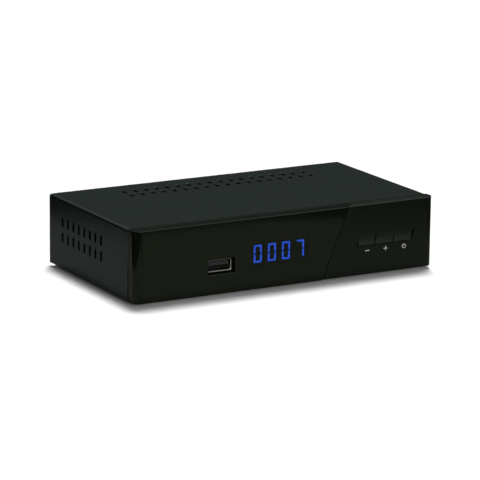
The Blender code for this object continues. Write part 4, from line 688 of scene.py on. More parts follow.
class MakeCover(bpy.types.Operator):
    """Folds the coated cover and punches its vents"""
    bl_idname = "receiver.make_cover"
    bl_label = "Folded cover"

    def execute(self, context):
        case, finishes = context.scene.receiver_case, all_finishes(context.scene)
        front, wide = COVER_LOW.y, HALF_WIDTH + OVERRUN

        def section(inset, floor):
            side, top = HALF_WIDTH - inset, TOP_Z - inset
            corners = [(-side, floor), (side, floor), (side, top), (-side, top)]
            return filleted(corners, [0, 0, case.bend - inset, case.bend - inset])

        cover = prism("folded_cover", "Y", front, BACK_Y, section(0, BASE_Z))
        fold = [
            (front - OVERRUN, BASE_Z - OVERRUN), (BACK_Y, BASE_Z - OVERRUN),
            (BACK_Y, TOP_Z), (front - OVERRUN, TOP_Z),
        ]
        combine(cover, "INTERSECT",
                prism("fold", "X", -wide, wide, filleted(fold, [0, 0, case.bend, 0])))
        inner = prism("inner", "Y", front - OVERRUN, BACK_Y + OVERRUN,
                      section(case.sheet, BASE_Z - OVERRUN))
        hollow = [
            (front - OVERRUN, BASE_Z - OVERRUN), (BACK_Y + OVERRUN, BASE_Z - OVERRUN),
            (BACK_Y + OVERRUN, TOP_Z - case.lip), (BACK_Y - case.sheet, TOP_Z - case.lip),
            (BACK_Y - case.sheet, TOP_Z - case.sheet), (front - OVERRUN, TOP_Z - case.sheet),
        ]
        combine(inner, "INTERSECT", prism(
            "inner_side", "X", -wide, wide, filleted(hollow, [0, 0, 0, 0, case.bend - case.sheet, 0])
        ))
        combine(cover, "DIFFERENCE", inner)
        row_shift, from_rear, from_seam, from_top = 2.0 * MM, 15.0 * MM, 28.3 * MM, 12.0 * MM
        coat = finishes["powder_coated_steel"]
        shared = {
            "Slot length": case.slot_length, "Slot width": case.slot_width, "Rows": 2,
            "Slot pitch": case.slot_pitch, "Row pitch": case.row_pitch, "Finish": coat,
        }
        with_tree(cover, slot_rows, {
            **shared, "Slots": case.top_slots, "Depth": 4 * case.sheet, "Turn": (0.0, 0.0, 0.0),
            "Middle": (row_shift, BACK_Y - from_rear - case.row_pitch / 2, TOP_Z),
        })
        side_middle = SEAM_Y + from_seam + case.slot_pitch * (case.side_slots - 1) / 2
        with_tree(cover, slot_rows, {
            **shared, "Slots": case.side_slots, "Depth": 2 * wide,
            "Turn": (math.pi / 2, 0.0, math.pi / 2),
            "Middle": (0.0, side_middle, TOP_Z - from_top - case.row_pitch / 2),
        })
        evaluated(cover)
        z, hole = TOP_Z - case.screw_drop, 1.6 * MM
        for x in (-case.screw_reach, 0.0, case.screw_reach):
            combine(cover, "DIFFERENCE", prism(
                "hole", "Y", BACK_Y - 2 * case.sheet, BACK_Y + OVERRUN, circle((x, z), hole)
            ))
        smoothed(cover, case.broken_edge)
        finished(cover, coat, "housing", "coated_steel", "top_cover")
        return {"FINISHED"}


def panel_form(name, front, inset, floor, rear, edge, shape):
    """The panel's outer form, or one set in from it; only the smoked plate's top falls forward."""
    side, face, corner = HALF_WIDTH - inset, front + inset, shape.corner - inset
    fall = shape.fall if front == WINDOW_Y else 0.0
    plan = [(-side, rear + OVERRUN), (-side, face), (side, face), (side, rear + OVERRUN)]
    form = prism(name, "Z", floor - OVERRUN, TOP_Z + OVERRUN,
                 filleted(plan, [0, corner, corner, 0], 16))
    profile = [
        (rear, floor), (face, floor), (face, TOP_Z - fall - inset),
        (SEAM_Y - shape.ledge, TOP_Z - inset), (rear, TOP_Z - inset),
    ]
    wide, rounds = HALF_WIDTH + OVERRUN, [0, edge, edge, 0, 0]
    return combine(form, "INTERSECT",
                   prism("profile", "X", -wide, wide, filleted(profile, rounds, 5)))


def window_zone(name, shift, shape):
    """All before the ledge and left of the slanted, raked plane where the window ends."""
    mesh, corners = bmesh.new(), []
    for z in (BASE_Z - 2 * OVERRUN, TOP_Z + 2 * OVERRUN):
        for y in (WINDOW_Y - 2 * OVERRUN, SEAM_Y - shape.ledge + shift):
            end = shape.window_end + shape.slant * (z - BASE_Z) + shape.rake * (y - PANEL_Y) + shift
            corners.append(mesh.verts.new((-HALF_WIDTH - 2 * OVERRUN, y, z)))
            corners.append(mesh.verts.new((end, y, z)))
    for face in ((0, 1, 3, 2), (4, 5, 7, 6), (0, 1, 5, 4), (2, 3, 7, 6), (0, 2, 6, 4), (1, 3, 7, 5)):
        mesh.faces.new([corners[index] for index in face])
    return linked(name, mesh)


def stick_opening(name, chamfer, deep):
    """The cutter of the memory-stick opening, with a chamfered mouth."""
    centre, wide, tall, corner = front_view("usb_shell")[0], 15.1 * MM, 7.6 * MM, 0.5 * MM

    def outline(grow):
        return rectangle(centre, wide + 2 * grow, tall + 2 * grow, corner + grow)

    return loft(name, "Y", [
        (WINDOW_Y - OVERRUN, outline(chamfer + OVERRUN)), (WINDOW_Y + chamfer, outline(0.0)),
        (deep, outline(0.0)),
    ])


class MakeWindow(bpy.types.Operator):
    """Makes the smoked plate with its slanted end and the opening of the stick socket"""
    bl_idname = "receiver.make_window"
    bl_label = "Smoked plate"

    def execute(self, context):
        shape, finishes = context.scene.receiver_front, all_finishes(context.scene)
        window = panel_form("smoked_plate", WINDOW_Y, 0, BASE_Z, SEAM_Y, shape.window_edge, shape)
        wall = shape.window_wall
        combine(window, "DIFFERENCE", panel_form(
            "inner", WINDOW_Y, wall, BASE_Z - OVERRUN, SEAM_Y + OVERRUN, 0, shape
        ))
        combine(window, "INTERSECT", window_zone("zone", 0.0, shape))
        combine(window, "DIFFERENCE", stick_opening("mouth", 0.15 * MM, WINDOW_Y + 4 * MM))
        smoothed(window, 0.12 * MM)
        finished(window, finishes["smoked_plate"], "housing", "smoked_window", "front_window")
        return {"FINISHED"}


class MakePanel(bpy.types.Operator):
    """Makes the moulded panel with its key opening and the carrier behind the smoked plate"""
    bl_idname = "receiver.make_panel"
    bl_label = "Moulded panel"

    def bevel(self, shape):
        """The wedge that stays at the left end of the key opening."""
        reach, ceiling = shape.key_bevel, shape.key_floor + shape.key_height
        places = [(PANEL_Y, -OVERRUN, 0.0), (PANEL_Y + reach, -OVERRUN, reach),
                  (PANEL_Y + 4 * MM, -OVERRUN, reach)]
        return loft("bevel", "Y", [
            (y, leaning(shape.key_start + low - shape.slant * OVERRUN, high - low,
                        shape.key_floor - OVERRUN, ceiling + OVERRUN, shape.slant))
            for y, low, high in places
        ])

    def execute(self, context):
        shape, finishes = context.scene.receiver_front, all_finishes(context.scene)
        wall, carrier = 2.0 * MM, shape.window_wall + SEAT_GAP
        panel = panel_form("moulded_panel", PANEL_Y, 0, BASE_Z, SEAM_Y, shape.panel_edge, shape)
        pocket = window_zone("pocket", SEAT_GAP, shape)
        combine(pocket, "DIFFERENCE", panel_form(
            "carrier", WINDOW_Y, carrier, BASE_Z - 3 * OVERRUN, SEAM_Y + 3 * OVERRUN, 0, shape
        ))
        combine(panel, "DIFFERENCE", pocket)
        combine(panel, "DIFFERENCE", panel_form(
            "cavity", WINDOW_Y, carrier + 1.5 * MM, BASE_Z + wall, SEAM_Y + OVERRUN, 0, shape
        ))
        bay_low = (shape.key_start - 3.0 * MM, PANEL_Y + wall, BASE_Z + 2 * wall)
        bay_high = (HALF_WIDTH - shape.corner, SEAM_Y + 2 * OVERRUN, TOP_Z - shape.fall - 2 * wall)
        opening = leaning(shape.key_start, 3 * shape.key_pitch, shape.key_floor,
                          shape.key_floor + shape.key_height, shape.slant)
        middle, wide, tall = front_view("display_module")
        eye, eye_radius, room = front_view("remote_eye")[0], 2.7 * MM, 0.6 * MM
        behind = WINDOW_Y + carrier + 2.5 * MM
        combine(
            panel, "DIFFERENCE", block("bay", bay_low, bay_high),
            combine(prism("key_opening", "Y", PANEL_Y - OVERRUN, PANEL_Y + wall + OVERRUN, opening),
                    "DIFFERENCE", self.bevel(shape)),
            prism("display_way", "Y", WINDOW_Y, behind, rectangle(middle, wide + room, tall + room)),
            prism("eye_way", "Y", WINDOW_Y, behind, circle(eye, eye_radius)),
            stick_opening("stick_way", 0.0, WINDOW_Y + 5 * MM),
        )
        land = panel_form("land", PANEL_Y, shape.groove, BASE_Z - OVERRUN, SEAM_Y, 0, shape)
        rim = prism("rim", "Y", SEAM_Y - shape.groove, SEAM_Y + OVERRUN, [
            (-HALF_WIDTH - OVERRUN, BASE_Z - OVERRUN), (HALF_WIDTH + OVERRUN, BASE_Z - OVERRUN),
            (HALF_WIDTH + OVERRUN, TOP_Z + OVERRUN), (-HALF_WIDTH - OVERRUN, TOP_Z + OVERRUN),
        ])
        combine(panel, "DIFFERENCE", combine(rim, "DIFFERENCE", land))
        smoothed(panel, 0.12 * MM)
        finished(panel, finishes["moulded_panel_abs"], "housing", "black_abs", "front_panel")
        return {"FINISHED"}


class MakeKeys(bpy.types.Operator):
    """Makes the three leaning keys with their finger scoops"""
    bl_idname = "receiver.make_keys"
    bl_label = "Keys"

    def execute(self, context):
        shape, finishes = context.scene.receiver_front, all_finishes(context.scene)
        gap, steps = 0.3 * MM, 20
        floor, ceiling = shape.key_floor + gap, shape.key_floor + shape.key_height - gap
        flange_front, flange_rear = PANEL_Y + 2.3 * MM, PANEL_Y + 3.1 * MM
        root, lead = flange_front + 0.4 * MM, 0.15 * MM
        for index, name in enumerate(ROW_NAMES):
            trim = shape.key_bevel if index == 0 else 0.0
            left = shape.key_start + index * shape.key_pitch + gap * (1 + shape.slant) + trim
            width = shape.key_pitch - 2 * gap - trim
            key = prism(f"{name}_cap", "Y", PANEL_Y - OVERRUN, root,
                        leaning(left, width, floor, ceiling, shape.slant))
            scoop = []
            for step in range(steps + 1):
                rise = step / steps
                depth = lead + shape.key_scoop * math.sin(rise * math.pi / 2)
                scoop.append((PANEL_Y + depth, floor + (ceiling - floor) * rise))
            below, above = floor - OVERRUN, ceiling + OVERRUN
            outline = [(scoop[0][0], below), *scoop, (scoop[-1][0], above),
                       (root + OVERRUN, above), (root + OVERRUN, below)]
            combine(key, "INTERSECT", prism(
                "scooped", "X", left - OVERRUN, left + width + 4 * MM, outline
            ))
            flange = leaning(left - shape.slant * MM, width, floor - MM, ceiling + MM, shape.slant)
            combine(key, "UNION", prism("flange", "Y", flange_front, flange_rear, flange))
            smoothed(key, 0.14 * MM)
            finished(key, finishes["moulded_key_abs"], name, "black_abs", f"{name}_key")
        return {"FINISHED"}


class MakeMarks(bpy.types.Operator):
    """Prints the plain marks under the keys"""
    bl_idname = "receiver.make_marks"
    bl_label = "Printed marks"

    def execute(self, context):
        shape, finishes = context.scene.receiver_front, all_finishes(context.scene)
        tall, stroke = shape.mark_height, 0.15 * shape.mark_height
        back, face = PANEL_Y + 0.02 * MM, PANEL_Y - 0.03 * MM
        z, shift = shape.key_floor - 2.5 * MM, 1.2 * MM
        middles = [shape.key_start + (index + 0.5) * shape.key_pitch + shift for index in range(3)]
        minus = [prism("minus", "Y", face, back, rectangle((middles[0], z), tall, stroke))]
        plus = [
            prism("plus", "Y", face, back, rectangle((middles[1], z), tall, stroke)),
            prism("upright", "Y", face, back, rectangle((middles[1], z), stroke, tall)),
        ]
        combine(plus[0], "UNION", plus.pop())
        radius, open_angle, steps = tall / 2 - stroke / 2, math.radians(42), 40
        ring = []
        for side, order in ((1, range(steps + 1)), (-1, range(steps, -1, -1))):
            for step in order:
                angle = open_angle + (2 * math.pi - 2 * open_angle) * step / steps
                reach = radius + side * stroke / 2
                ring.append((middles[2] + reach * math.sin(angle), z + reach * math.cos(angle)))
        power = [
            prism("ring", "Y", face, back, ring),
            prism("bar", "Y", face, back, rectangle((middles[2], z + 0.3 * tall), stroke, 0.5 * tall)),
        ]
        marks = joined("printed_marks", minus + plus + power)
        finished(marks, finishes["screen_ink"], "housing", None)
        return {"FINISHED"}


class MakeDisplay(bpy.types.Operator):
    """Makes the four-figure display with its lit and unlit bars"""
    bl_idname = "receiver.make_display"
    bl_label = "Display"

    def execute(self, context):
        shape, finishes = context.scene.receiver_display, all_finishes(context.scene)
        low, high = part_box("display_module")
        middle, wide, tall = front_view("display_module")
        module = prism("display_housing", "Y", low.y + 0.2 * MM, high.y,
                       rectangle(middle, wide, tall, 0.3 * MM))
        smoothed(module, 0.15 * MM)
        finished(module, finishes["display_epoxy"], "housing", "display_resin", "display_module")
        bar, gap = shape.bar_width, 0.12 * MM
        across, up = shape.figure_width / 2, shape.figure_height / 2
        outlines = {
            "end": [(-across + gap, up), (across - gap, up), (across - bar - gap, up - bar),
                    (-across + bar + gap, up - bar)],
            "middle": [(-across + bar, bar / 2), (-across + bar / 2 + gap, 0), (-across + bar, -bar / 2),
                       (across - bar, -bar / 2), (across - bar / 2 - gap, 0), (across - bar, bar / 2)],
            "upright": [(-across, up - gap), (-across, 2 * gap), (-across + bar / 2, 2 * gap),
                        (-across + bar, bar / 2 + 2 * gap), (-across + bar, up - bar - gap)],
        }
        lit_of = {
            "0": "abcdef", "1": "bc", "2": "abdeg", "3": "abcdg", "4": "bcfg",
            "5": "acdfg", "6": "acdefg", "7": "abc", "8": "abcdefg", "9": "abcdfg",
        }
        bars = {
            "a": ("end", 0, 0), "d": ("end", math.pi, 0), "g": ("middle", 0, 0),
            "f": ("upright", 0, 0), "b": ("upright", 0, math.pi),
            "e": ("upright", math.pi, 0), "c": ("upright", math.pi, math.pi),
        }
        groups = {}
        for index, figure in enumerate(shape.figures):
            x = middle[0] + (index - (len(shape.figures) - 1) / 2) * shape.figure_pitch
            for letter, (kind, flip, mirror) in bars.items():
                state = "lit" if letter in lit_of[figure] else "unlit"
                place = ((x, low.y + 0.1 * MM, middle[1]), (flip, 0.0, mirror))
                groups.setdefault((kind, state), []).append(place)
        for (kind, state), places in groups.items():
            bar = prism("bar", "Y", -0.1 * MM, 0.1 * MM, outlines[kind])
            material = finishes[f"{state}_light_pipe"]
            piece = at_places(f"{state}_{kind}_bars", bar, places, material)
            finished(piece, material, "housing", "display_resin")
        return {"FINISHED"}


class MakeStickSocket(bpy.types.Operator):
    """Makes the metal shell, tongue and contacts of the memory-stick socket"""
    bl_idname = "receiver.make_stick_socket"
    bl_label = "Memory-stick socket"

    def execute(self, context):
        finishes = all_finishes(context.scene)
        low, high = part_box("usb_shell")
        centre, wide, tall = front_view("usb_shell")
        wall, flare = 0.4 * MM, 0.17 * MM
        shell = prism("stick_socket_shell", "Y", low.y, high.y, rectangle(centre, wide, tall, 0.8 * MM))
        inside = loft("inside", "Y", [
            (low.y - 0.05 * MM, rectangle(centre, wide - 0.1 * MM, tall - 0.1 * MM, 0.75 * MM)),
            (low.y + flare, rectangle(centre, wide - 2 * wall, tall - 2 * wall, 0.4 * MM)),
            (high.y + OVERRUN, rectangle(centre, wide - 2 * wall, tall - 2 * wall, 0.4 * MM)),
        ])
        combine(shell, "DIFFERENCE", inside)
        smoothed(shell, 0.04 * MM)
        finished(shell, finishes["tin_plated_steel"], "housing", "tinned_steel", "usb_shell")
        t_low, t_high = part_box("usb_tongue")
        room, block_length = wall + SEAT_GAP, 4.5 * MM
        tongue = prism("stick_socket_tongue", "Y", high.y - block_length, t_high.y,
                       rectangle(centre, wide - 2 * room, tall - 2 * room, 0.2 * MM))
        top = high.z - wall - 0.7 * MM
        plate_low = (centre[0] - 5.55 * MM, t_low.y, top - 1.9 * MM)
        plate_high = (centre[0] + 5.55 * MM, high.y - block_length / 2, top)
        combine(tongue, "UNION", block("plate", plate_low, plate_high))
        smoothed(tongue, 0.12 * MM)
        finished(tongue, finishes["black_socket_plastic"], "housing",
                 "black_socket_plastic", "usb_tongue")
        contact = prism("contact", "Y", 0.0, 7.5 * MM,
                        rectangle((0, 0), 1.0 * MM, 0.16 * MM, 0.05 * MM, 3))
        places = [
            ((centre[0] + shift * MM, t_low.y + 0.9 * MM, plate_low[2] - 0.02 * MM), (0.0, 0.0, 0.0))
            for shift in (-3.5, -1.0, 1.0, 3.5)
        ]
        gold = finishes["gold_flashed_contact"]
        contacts = at_places("stick_socket_contacts", contact, places, gold)
        smoothed(contacts)
        finished(contacts, gold, "housing", None)
        return {"FINISHED"}


class MakeScrews(bpy.types.Operator):
    """Makes the cross-recessed screws in the cover's rear lip"""
    bl_idname = "receiver.make_screws"
    bl_label = "Cover screws"

    def execute(self, context):
        case, finishes = context.scene.receiver_case, all_finishes(context.scene)
        radius, height = 2.6 * MM, 1.7 * MM
        crown = [(radius * math.cos(a), height * (0.45 + 0.55 * math.sin(a)))
                 for a in [math.pi / 2 * step / 8 for step in range(8)]]
        profile = [(0, -5.0 * MM), (1.0 * MM, -5.0 * MM), (1.3 * MM, -4.6 * MM), (1.3 * MM, 0),
                   (radius, 0), *crown, (0, height)]
        screw = turned("screw", profile, 40)
        long_side, short_side, tip = 1.25 * MM, 0.32 * MM, 0.35
        for x, y in ((short_side, long_side), (long_side, short_side)):
            combine(screw, "DIFFERENCE", loft("recess", "Z", [
                (height - 0.9 * MM, rectangle((0, 0), 2 * x * tip, 2 * y * tip)),
                (height + 0.2 * MM, rectangle((0, 0), 2 * x, 2 * y)),
            ]))
        smoothed(screw, 0.05 * MM)
        seat, z = BACK_Y + SEAT_GAP, TOP_Z - case.screw_drop
        places = [((x, seat, z), (-math.pi / 2, 0.0, turn)) for x, turn in
                  ((-case.screw_reach, 0.0), (0.0, 0.0), (case.screw_reach, 0.0))]
        piece = at_places("cover_screws", screw, places, finishes["powder_coated_steel"])
        finished(piece, finishes["powder_coated_steel"], "housing", "coated_steel",
                 "cover_screw_left", "cover_screw_middle", "cover_screw_right")
        return {"FINISHED"}


class MakeFeet(bpy.types.Operator):
    """Makes the four moulded feet"""
    bl_idname = "receiver.make_feet"
    bl_label = "Feet"

    def execute(self, context):
        finishes = all_finishes(context.scene)
        low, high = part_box("rubber_foot_front_left")
        radius, top, edge = (high.x - low.x) / 2, high.z, 0.4 * MM
        bead = arc_points((radius - edge, edge), (radius - edge, 0), (radius, edge), 5)
        profile = [(0, 0.15 * MM), (2.6 * MM, 0.15 * MM), (2.9 * MM, 0), *bead, (radius, top), (0, top)]
        foot = smoothed(turned("foot", profile, 48))
        places, nodes = [], []
        for end in ("front", "rear"):
            for side in ("left", "right"):
                nodes.append(f"rubber_foot_{end}_{side}")
                low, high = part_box(nodes[-1])
                places.append((((low.x + high.x) / 2, (low.y + high.y) / 2, 0.0), (0.0, 0.0, 0.0)))
        feet = at_places("moulded_feet", foot, places, finishes["moulded_rubber"])
        finished(feet, finishes["moulded_rubber"], "housing", "foot_rubber", *nodes)
        return {"FINISHED"}


class MakeAerialSockets(bpy.types.Operator):
    """Turns the aerial, loop and sound sockets"""
    bl_idname = "receiver.make_aerial_sockets"
    bl_label = "Aerial and sound sockets"

    def turn(self, name, profile, seat, finish, slot, *nodes, edge=0.06 * MM, steps=64):
        """Turns one piece on its socket's axis and finishes it."""
        piece = placed(turned(name, profile, steps), seat, TO_REAR)
        smoothed(piece, edge)
        finished(piece, finish, "housing", slot, *nodes)

    def execute(self, context):
        finishes = all_finishes(context.scene)
        nickel, polythene = finishes["nickel_plated_brass"], finishes["white_polythene"]
        edge, disc = 0.35 * MM, 1.4 * MM
        for way, radius, bore in (("in", 5.3 * MM, 4.8 * MM), ("out", 4.75 * MM, 4.1 * MM)):
            seat, length = rear_seat(f"aerial_{way}_barrel")
            flange, flange_radius, floor = 1.4 * MM, 6.2 * MM, 1.2 * MM
            bead, dip = length - 2.6 * MM, 0.25 * MM
            self.turn(f"aerial_{way}_sleeve", [
                (0, floor), (bore, floor), (bore, length - edge), (bore + edge / 2, length),
                (radius - edge / 2, length), (radius, length - edge), (radius, bead + 2 * dip),
                (radius - dip, bead + dip), (radius - dip, bead - dip), (radius, bead - 2 * dip),
                (radius, flange), (flange_radius, flange), (flange_radius, 0), (0, 0),
            ], seat, nickel, "nickel_brass", f"aerial_{way}_barrel")
        seat, tip = rear_seat("aerial_in_contact")
        self.turn("aerial_in_insulator", [
            (0, 0), (4.5 * MM, 0), (4.5 * MM, disc), (2.2 * MM, disc), (2.2 * MM, 0.6 * MM),
            (0, 0.6 * MM),
        ], seat, polythene, "white_insulator", "aerial_in_contact", edge=0.08 * MM)
        spring = turned("aerial_in_spring", [
            (0, 0.7 * MM), (2.1 * MM, 0.7 * MM), (2.1 * MM, tip), (1.25 * MM, tip),
            (1.25 * MM, disc + MM), (0, disc + MM),
        ], 48)
        for x, y in ((0.2 * MM, 3 * MM), (3 * MM, 0.2 * MM)):
            combine(spring, "DIFFERENCE", block("slit", (-x, -y, tip - 4 * MM), (x, y, tip + MM)))
        placed(spring, seat, TO_REAR)
        smoothed(spring, 0.06 * MM)
        finished(spring, nickel, "housing", "nickel_brass")
        seat, tip = rear_seat("aerial_out_pin")
        self.turn("aerial_out_insulator", [
            (1.3 * MM, 0), (3.8 * MM, 0), (3.8 * MM, disc), (1.3 * MM, disc),
        ], seat, polythene, "white_insulator", edge=0.08 * MM)
        nose = [(1.2 * MM * math.cos(a), tip - 0.9 * MM * (1 - math.sin(a)))
                for a in [math.pi / 2 * step / 6 for step in range(6)]]
        self.turn("aerial_out_contact", [(0, 0), (1.2 * MM, 0), *nose, (0, tip)],
                  seat, nickel, "nickel_brass", "aerial_out_pin", edge=0.0, steps=40)

        low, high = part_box("sound_socket_barrel")
        seat, length = rear_seat("sound_socket_barrel")
        radius = (high.x - low.x) / 2
        inside = radius - 0.5 * MM
        self.turn("sound_socket_sleeve", [
            (inside, 0), (radius, 0), (radius, length - edge), (radius - edge / 2, length),
            (inside, length),
        ], seat, nickel, "nickel_brass", "sound_socket_barrel")
        low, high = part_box("sound_socket_body")
        middle, wide, tall = front_view("sound_socket_body")
        face, plug = seat[1] - SEAT_GAP, inside - SEAT_GAP
        body = prism("sound_socket_insulator", "Y", low.y, face,
                     rectangle(middle, wide, tall, 0.5 * MM))
        nose = placed(turned("nose", [
            (0, -MM), (plug, -MM), (plug, high.y - face), (0, high.y - face),
        ]), (seat[0], face, seat[2]), TO_REAR)
        combine(body, "UNION", nose)
        combine(body, "DIFFERENCE", prism(
            "bore", "Y", face, high.y + OVERRUN, circle((seat[0], seat[2]), 1.6 * MM)
        ))
        smoothed(body, 0.15 * MM)
        finished(body, finishes["orange_abs"], "housing", "orange_insulator", "sound_socket_body")
        return {"FINISHED"}


class DressInside(bpy.types.Operator):
    """Gives the CAD solids that stay their finishes"""
    bl_idname = "receiver.dress_inside"
    bl_label = "Inner pieces"

    def execute(self, context):
        finishes = all_finishes(context.scene)
        wanted = {
            "zinc_plated_steel": ["base_tray", "panel_screw_left", "panel_screw_right",
                                  "front_board_screw_left", "front_board_screw_right",
                                  "board_screw_front_left", "board_screw_front_right",
                                  "board_screw_rear_left", "board_screw_rear_right"],
            "tin_plated_steel": ["tuner_can", "tuner_lid", "hdmi_shell", "crystal_can"],
            "nickel_plated_brass": ["power_inlet_pin"],
            "solder_masked_board": ["main_board", "front_board"],
            "moulded_epoxy": ["processor", "memory_chip", "flash_chip", "power_coil",
                              "channel_down_switch", "channel_up_switch", "power_switch"],
            "moulded_key_abs": ["channel_down_plunger", "channel_up_plunger", "power_plunger"],
            "infrared_resin": ["remote_eye"],
            "black_socket_plastic": ["hdmi_tongue", "scart_socket", "power_inlet_body"],
            "white_polythene": ["main_header", "front_header"],
            "black_anodised_aluminium": ["heat_sink"],
            "capacitor_sleeve": ["capacitor_1", "capacitor_2", "capacitor_3"],
            "grey_ribbon_insulation": ["ribbon_cable"],
        }
        for name, nodes in wanted.items():
            for node in nodes:
                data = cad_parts[node].data
                data.materials.clear()
                data.materials.append(finishes[name])
        given = sum(wanted.values(), [])
        bare = [name for name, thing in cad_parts.items()
                if not thing.hide_render and name not in given]
        if bare:
            raise RuntimeError(f"no finish was given to {bare}")
        return {"FINISHED"}


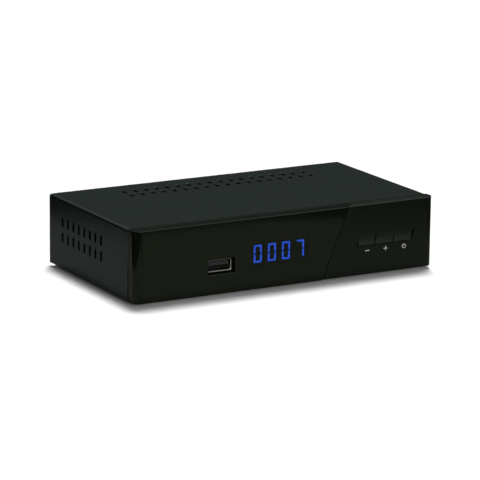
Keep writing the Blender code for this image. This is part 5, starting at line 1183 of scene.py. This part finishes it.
class MakeStage(bpy.types.Operator):
    """Sets up the pale floor, the soft lamps and the camera"""
    bl_idname = "receiver.make_stage"
    bl_label = "Stage"

    def seen(self, tree):
        """The kinds of ray, and 1 for those from the camera or through something clear."""
        path = add(tree, "ShaderNodeLightPath")
        either = add(tree, "ShaderNodeMath", {"operation": "MAXIMUM"},
                     {0: path.outputs["Is Camera Ray"], 1: path.outputs["Is Transmission Ray"]})
        return path.outputs, either.outputs[0]

    def lamp(self, scene, name, kind, energy, place, aim):
        """A lamp that shines from aim towards the middle of the object."""
        light = bpy.data.lights.new(name, kind)
        light.energy = energy
        thing = bpy.data.objects.new(name, light)
        scene.collection.objects.link(thing)
        thing.location = place
        thing.rotation_euler = Vector(aim).to_track_quat("Z", "Y").to_euler()
        return light

    def floor(self):
        """A white floor that keeps the shadow, and that gloss sees as a toned sheet on a bench."""
        mesh = bmesh.new()
        bmesh.ops.create_grid(mesh, x_segments=2, y_segments=2, size=FLOOR_REACH)
        floor = linked("floor", mesh)
        material = bpy.data.materials.new("pale_floor")
        material.use_nodes = True
        tree = material.node_tree
        tree.nodes.clear()
        seen = self.seen(tree)[1]
        # The sheet is a superellipse, so its corners are rounded.
        coords = add(tree, "ShaderNodeTexCoord")
        parts = add(tree, "ShaderNodeSeparateXYZ", {}, {"Vector": coords.outputs["Object"]})
        powers = []
        for axis, half in SHEET_HALF.items():
            away = add(tree, "ShaderNodeMath", {"operation": "ABSOLUTE"}, {0: parts.outputs[axis]})
            share = add(tree, "ShaderNodeMath", {"operation": "DIVIDE", 1: half},
                        {0: away.outputs[0]})
            powers.append(add(tree, "ShaderNodeMath", {"operation": "POWER", 1: SHEET_POWER},
                              {0: share.outputs[0]}))
        reach = add(tree, "ShaderNodeMath", {"operation": "ADD"},
                    {0: powers[0].outputs[0], 1: powers[1].outputs[0]})
        sheet = add(tree, "ShaderNodeMapRange", {
            "interpolation_type": "SMOOTHSTEP",
            1: SHEET_EDGE[0], 2: SHEET_EDGE[1], 3: SHEET_TONE, 4: BENCH_TONE,
        }, {0: reach.outputs[0]})
        tone = add(tree, "ShaderNodeMix", {"data_type": "RGBA", 7: (*[FLOOR_TONE] * 3, 1.0)},
                   {0: seen, 6: sheet.outputs[0]})
        paint = add(tree, "ShaderNodeBsdfDiffuse", {}, {"Color": tone.outputs[2]})
        lift = add(tree, "ShaderNodeMath", {"operation": "MULTIPLY", 1: FLOOR_LIFT}, {0: seen})
        glow = add(tree, "ShaderNodeEmission", {"Color": (1, 1, 1, 1)}, {"Strength": lift.outputs[0]})
        both = add(tree, "ShaderNodeAddShader", {}, {0: paint.outputs[0], 1: glow.outputs[0]})
        add(tree, "ShaderNodeOutputMaterial", {}, {"Surface": both.outputs[0]})
        floor.data.materials.append(material)

    def room(self, scene):
        """A white room, in which gloss sees a white ceiling that dims towards dark walls."""
        world = scene.world or bpy.data.worlds.new("studio")
        scene.world = world
        world.use_nodes = True
        tree = world.node_tree
        tree.nodes.clear()
        path, seen = self.seen(tree)
        coords = add(tree, "ShaderNodeTexCoord")
        parts = add(tree, "ShaderNodeSeparateXYZ", {}, {"Vector": coords.outputs["Generated"]})
        walls = add(tree, "ShaderNodeValToRGB", {}, {0: parts.outputs["Z"]})
        stops = walls.color_ramp.elements
        for stop, (position, tone) in zip(stops, (WALL_FOOT, WALL_HEAD)):
            stop.position, stop.color = position, (tone, tone, tone, 1.0)
        for position, tone in WALL_BETWEEN:
            stops.new(position).color = (tone, tone, tone, 1.0)
        room = add(tree, "ShaderNodeBackground", {"Strength": 1.0}, {"Color": walls.outputs[0]})
        white = add(tree, "ShaderNodeBackground", {"Color": (1, 1, 1, 1), "Strength": 1.0})
        soft = add(tree, "ShaderNodeBackground", {"Color": (1, 1, 1, 1), "Strength": ROOM_FILL})
        inner = add(tree, "ShaderNodeMixShader", {},
                    {0: path["Is Glossy Ray"], 1: soft.outputs[0], 2: room.outputs[0]})
        outer = add(tree, "ShaderNodeMixShader", {}, {0: seen, 1: inner.outputs[0], 2: white.outputs[0]})
        add(tree, "ShaderNodeOutputWorld", {}, {"Surface": outer.outputs[0]})

    def execute(self, context):
        scene = context.scene
        self.floor()
        self.room(scene)
        # Two overhead lamps side by side make one soft light, longer from front to rear.
        for name, lean in CEILING_LEANS.items():
            ceiling = self.lamp(scene, name, "SUN", CEILING_POWER, (0, 0, 0),
                                (CEILING_SIDE, lean, 1.0))
            ceiling.angle = math.radians(CEILING_SPREAD)
        softbox = self.lamp(scene, "front_softbox", "AREA", SOFTBOX_POWER, SOFTBOX_PLACE, SOFTBOX_PLACE)
        softbox.shape, softbox.size = "SQUARE", SOFTBOX_SIZE

        lens = bpy.data.cameras.new("camera")
        lens.sensor_width, lens.lens = SENSOR_WIDTH, FOCAL_LENGTH
        lens.clip_start, lens.clip_end = CLIPPING
        camera = bpy.data.objects.new("camera", lens)
        scene.collection.objects.link(camera)
        camera.location = CAMERA_PLACE
        turn, tilt, roll = (math.radians(angle) for angle in CAMERA_ANGLES)
        camera.rotation_euler = (
            Matrix.Rotation(turn, 3, "Z") @ Matrix.Rotation(tilt, 3, "X") @ Matrix.Rotation(roll, 3, "Z")
        ).to_euler()
        scene.camera = camera
        scene.view_settings.view_transform = "Standard"
        return {"FINISHED"}


OPERATORS = (
    MakeCover, MakeWindow, MakePanel, MakeKeys, MakeMarks, MakeDisplay, MakeStickSocket,
    MakeScrews, MakeFeet, MakeAerialSockets, DressInside, MakeStage,
)


class ReceiverPanel(bpy.types.Panel):
    bl_idname = "VIEW3D_PT_receiver"
    bl_label = "Television receiver"
    bl_space_type = "VIEW_3D"
    bl_region_type = "UI"
    bl_category = "Receiver"

    def draw(self, context):
        for name, group in GROUPS.items():
            column = self.layout.column(align=True)
            for prop in group.__annotations__:
                column.prop(getattr(context.scene, name), prop)
        column = self.layout.column(align=True)
        for operator in OPERATORS:
            column.operator(operator.bl_idname)


def register():
    for name, group in GROUPS.items():
        bpy.utils.register_class(group)
        setattr(bpy.types.Scene, name, bpy.props.PointerProperty(type=group))
    for item in (*OPERATORS, ReceiverPanel):
        bpy.utils.register_class(item)


def unregister():
    for item in reversed((*OPERATORS, ReceiverPanel)):
        bpy.utils.unregister_class(item)
    for name, group in reversed(GROUPS.items()):
        delattr(bpy.types.Scene, name)
        bpy.utils.unregister_class(group)


def main():
    register()
    for operator in OPERATORS:
        area, name = operator.bl_idname.split(".")
        getattr(getattr(bpy.ops, area), name)()


if __name__ == "__main__":
    main()
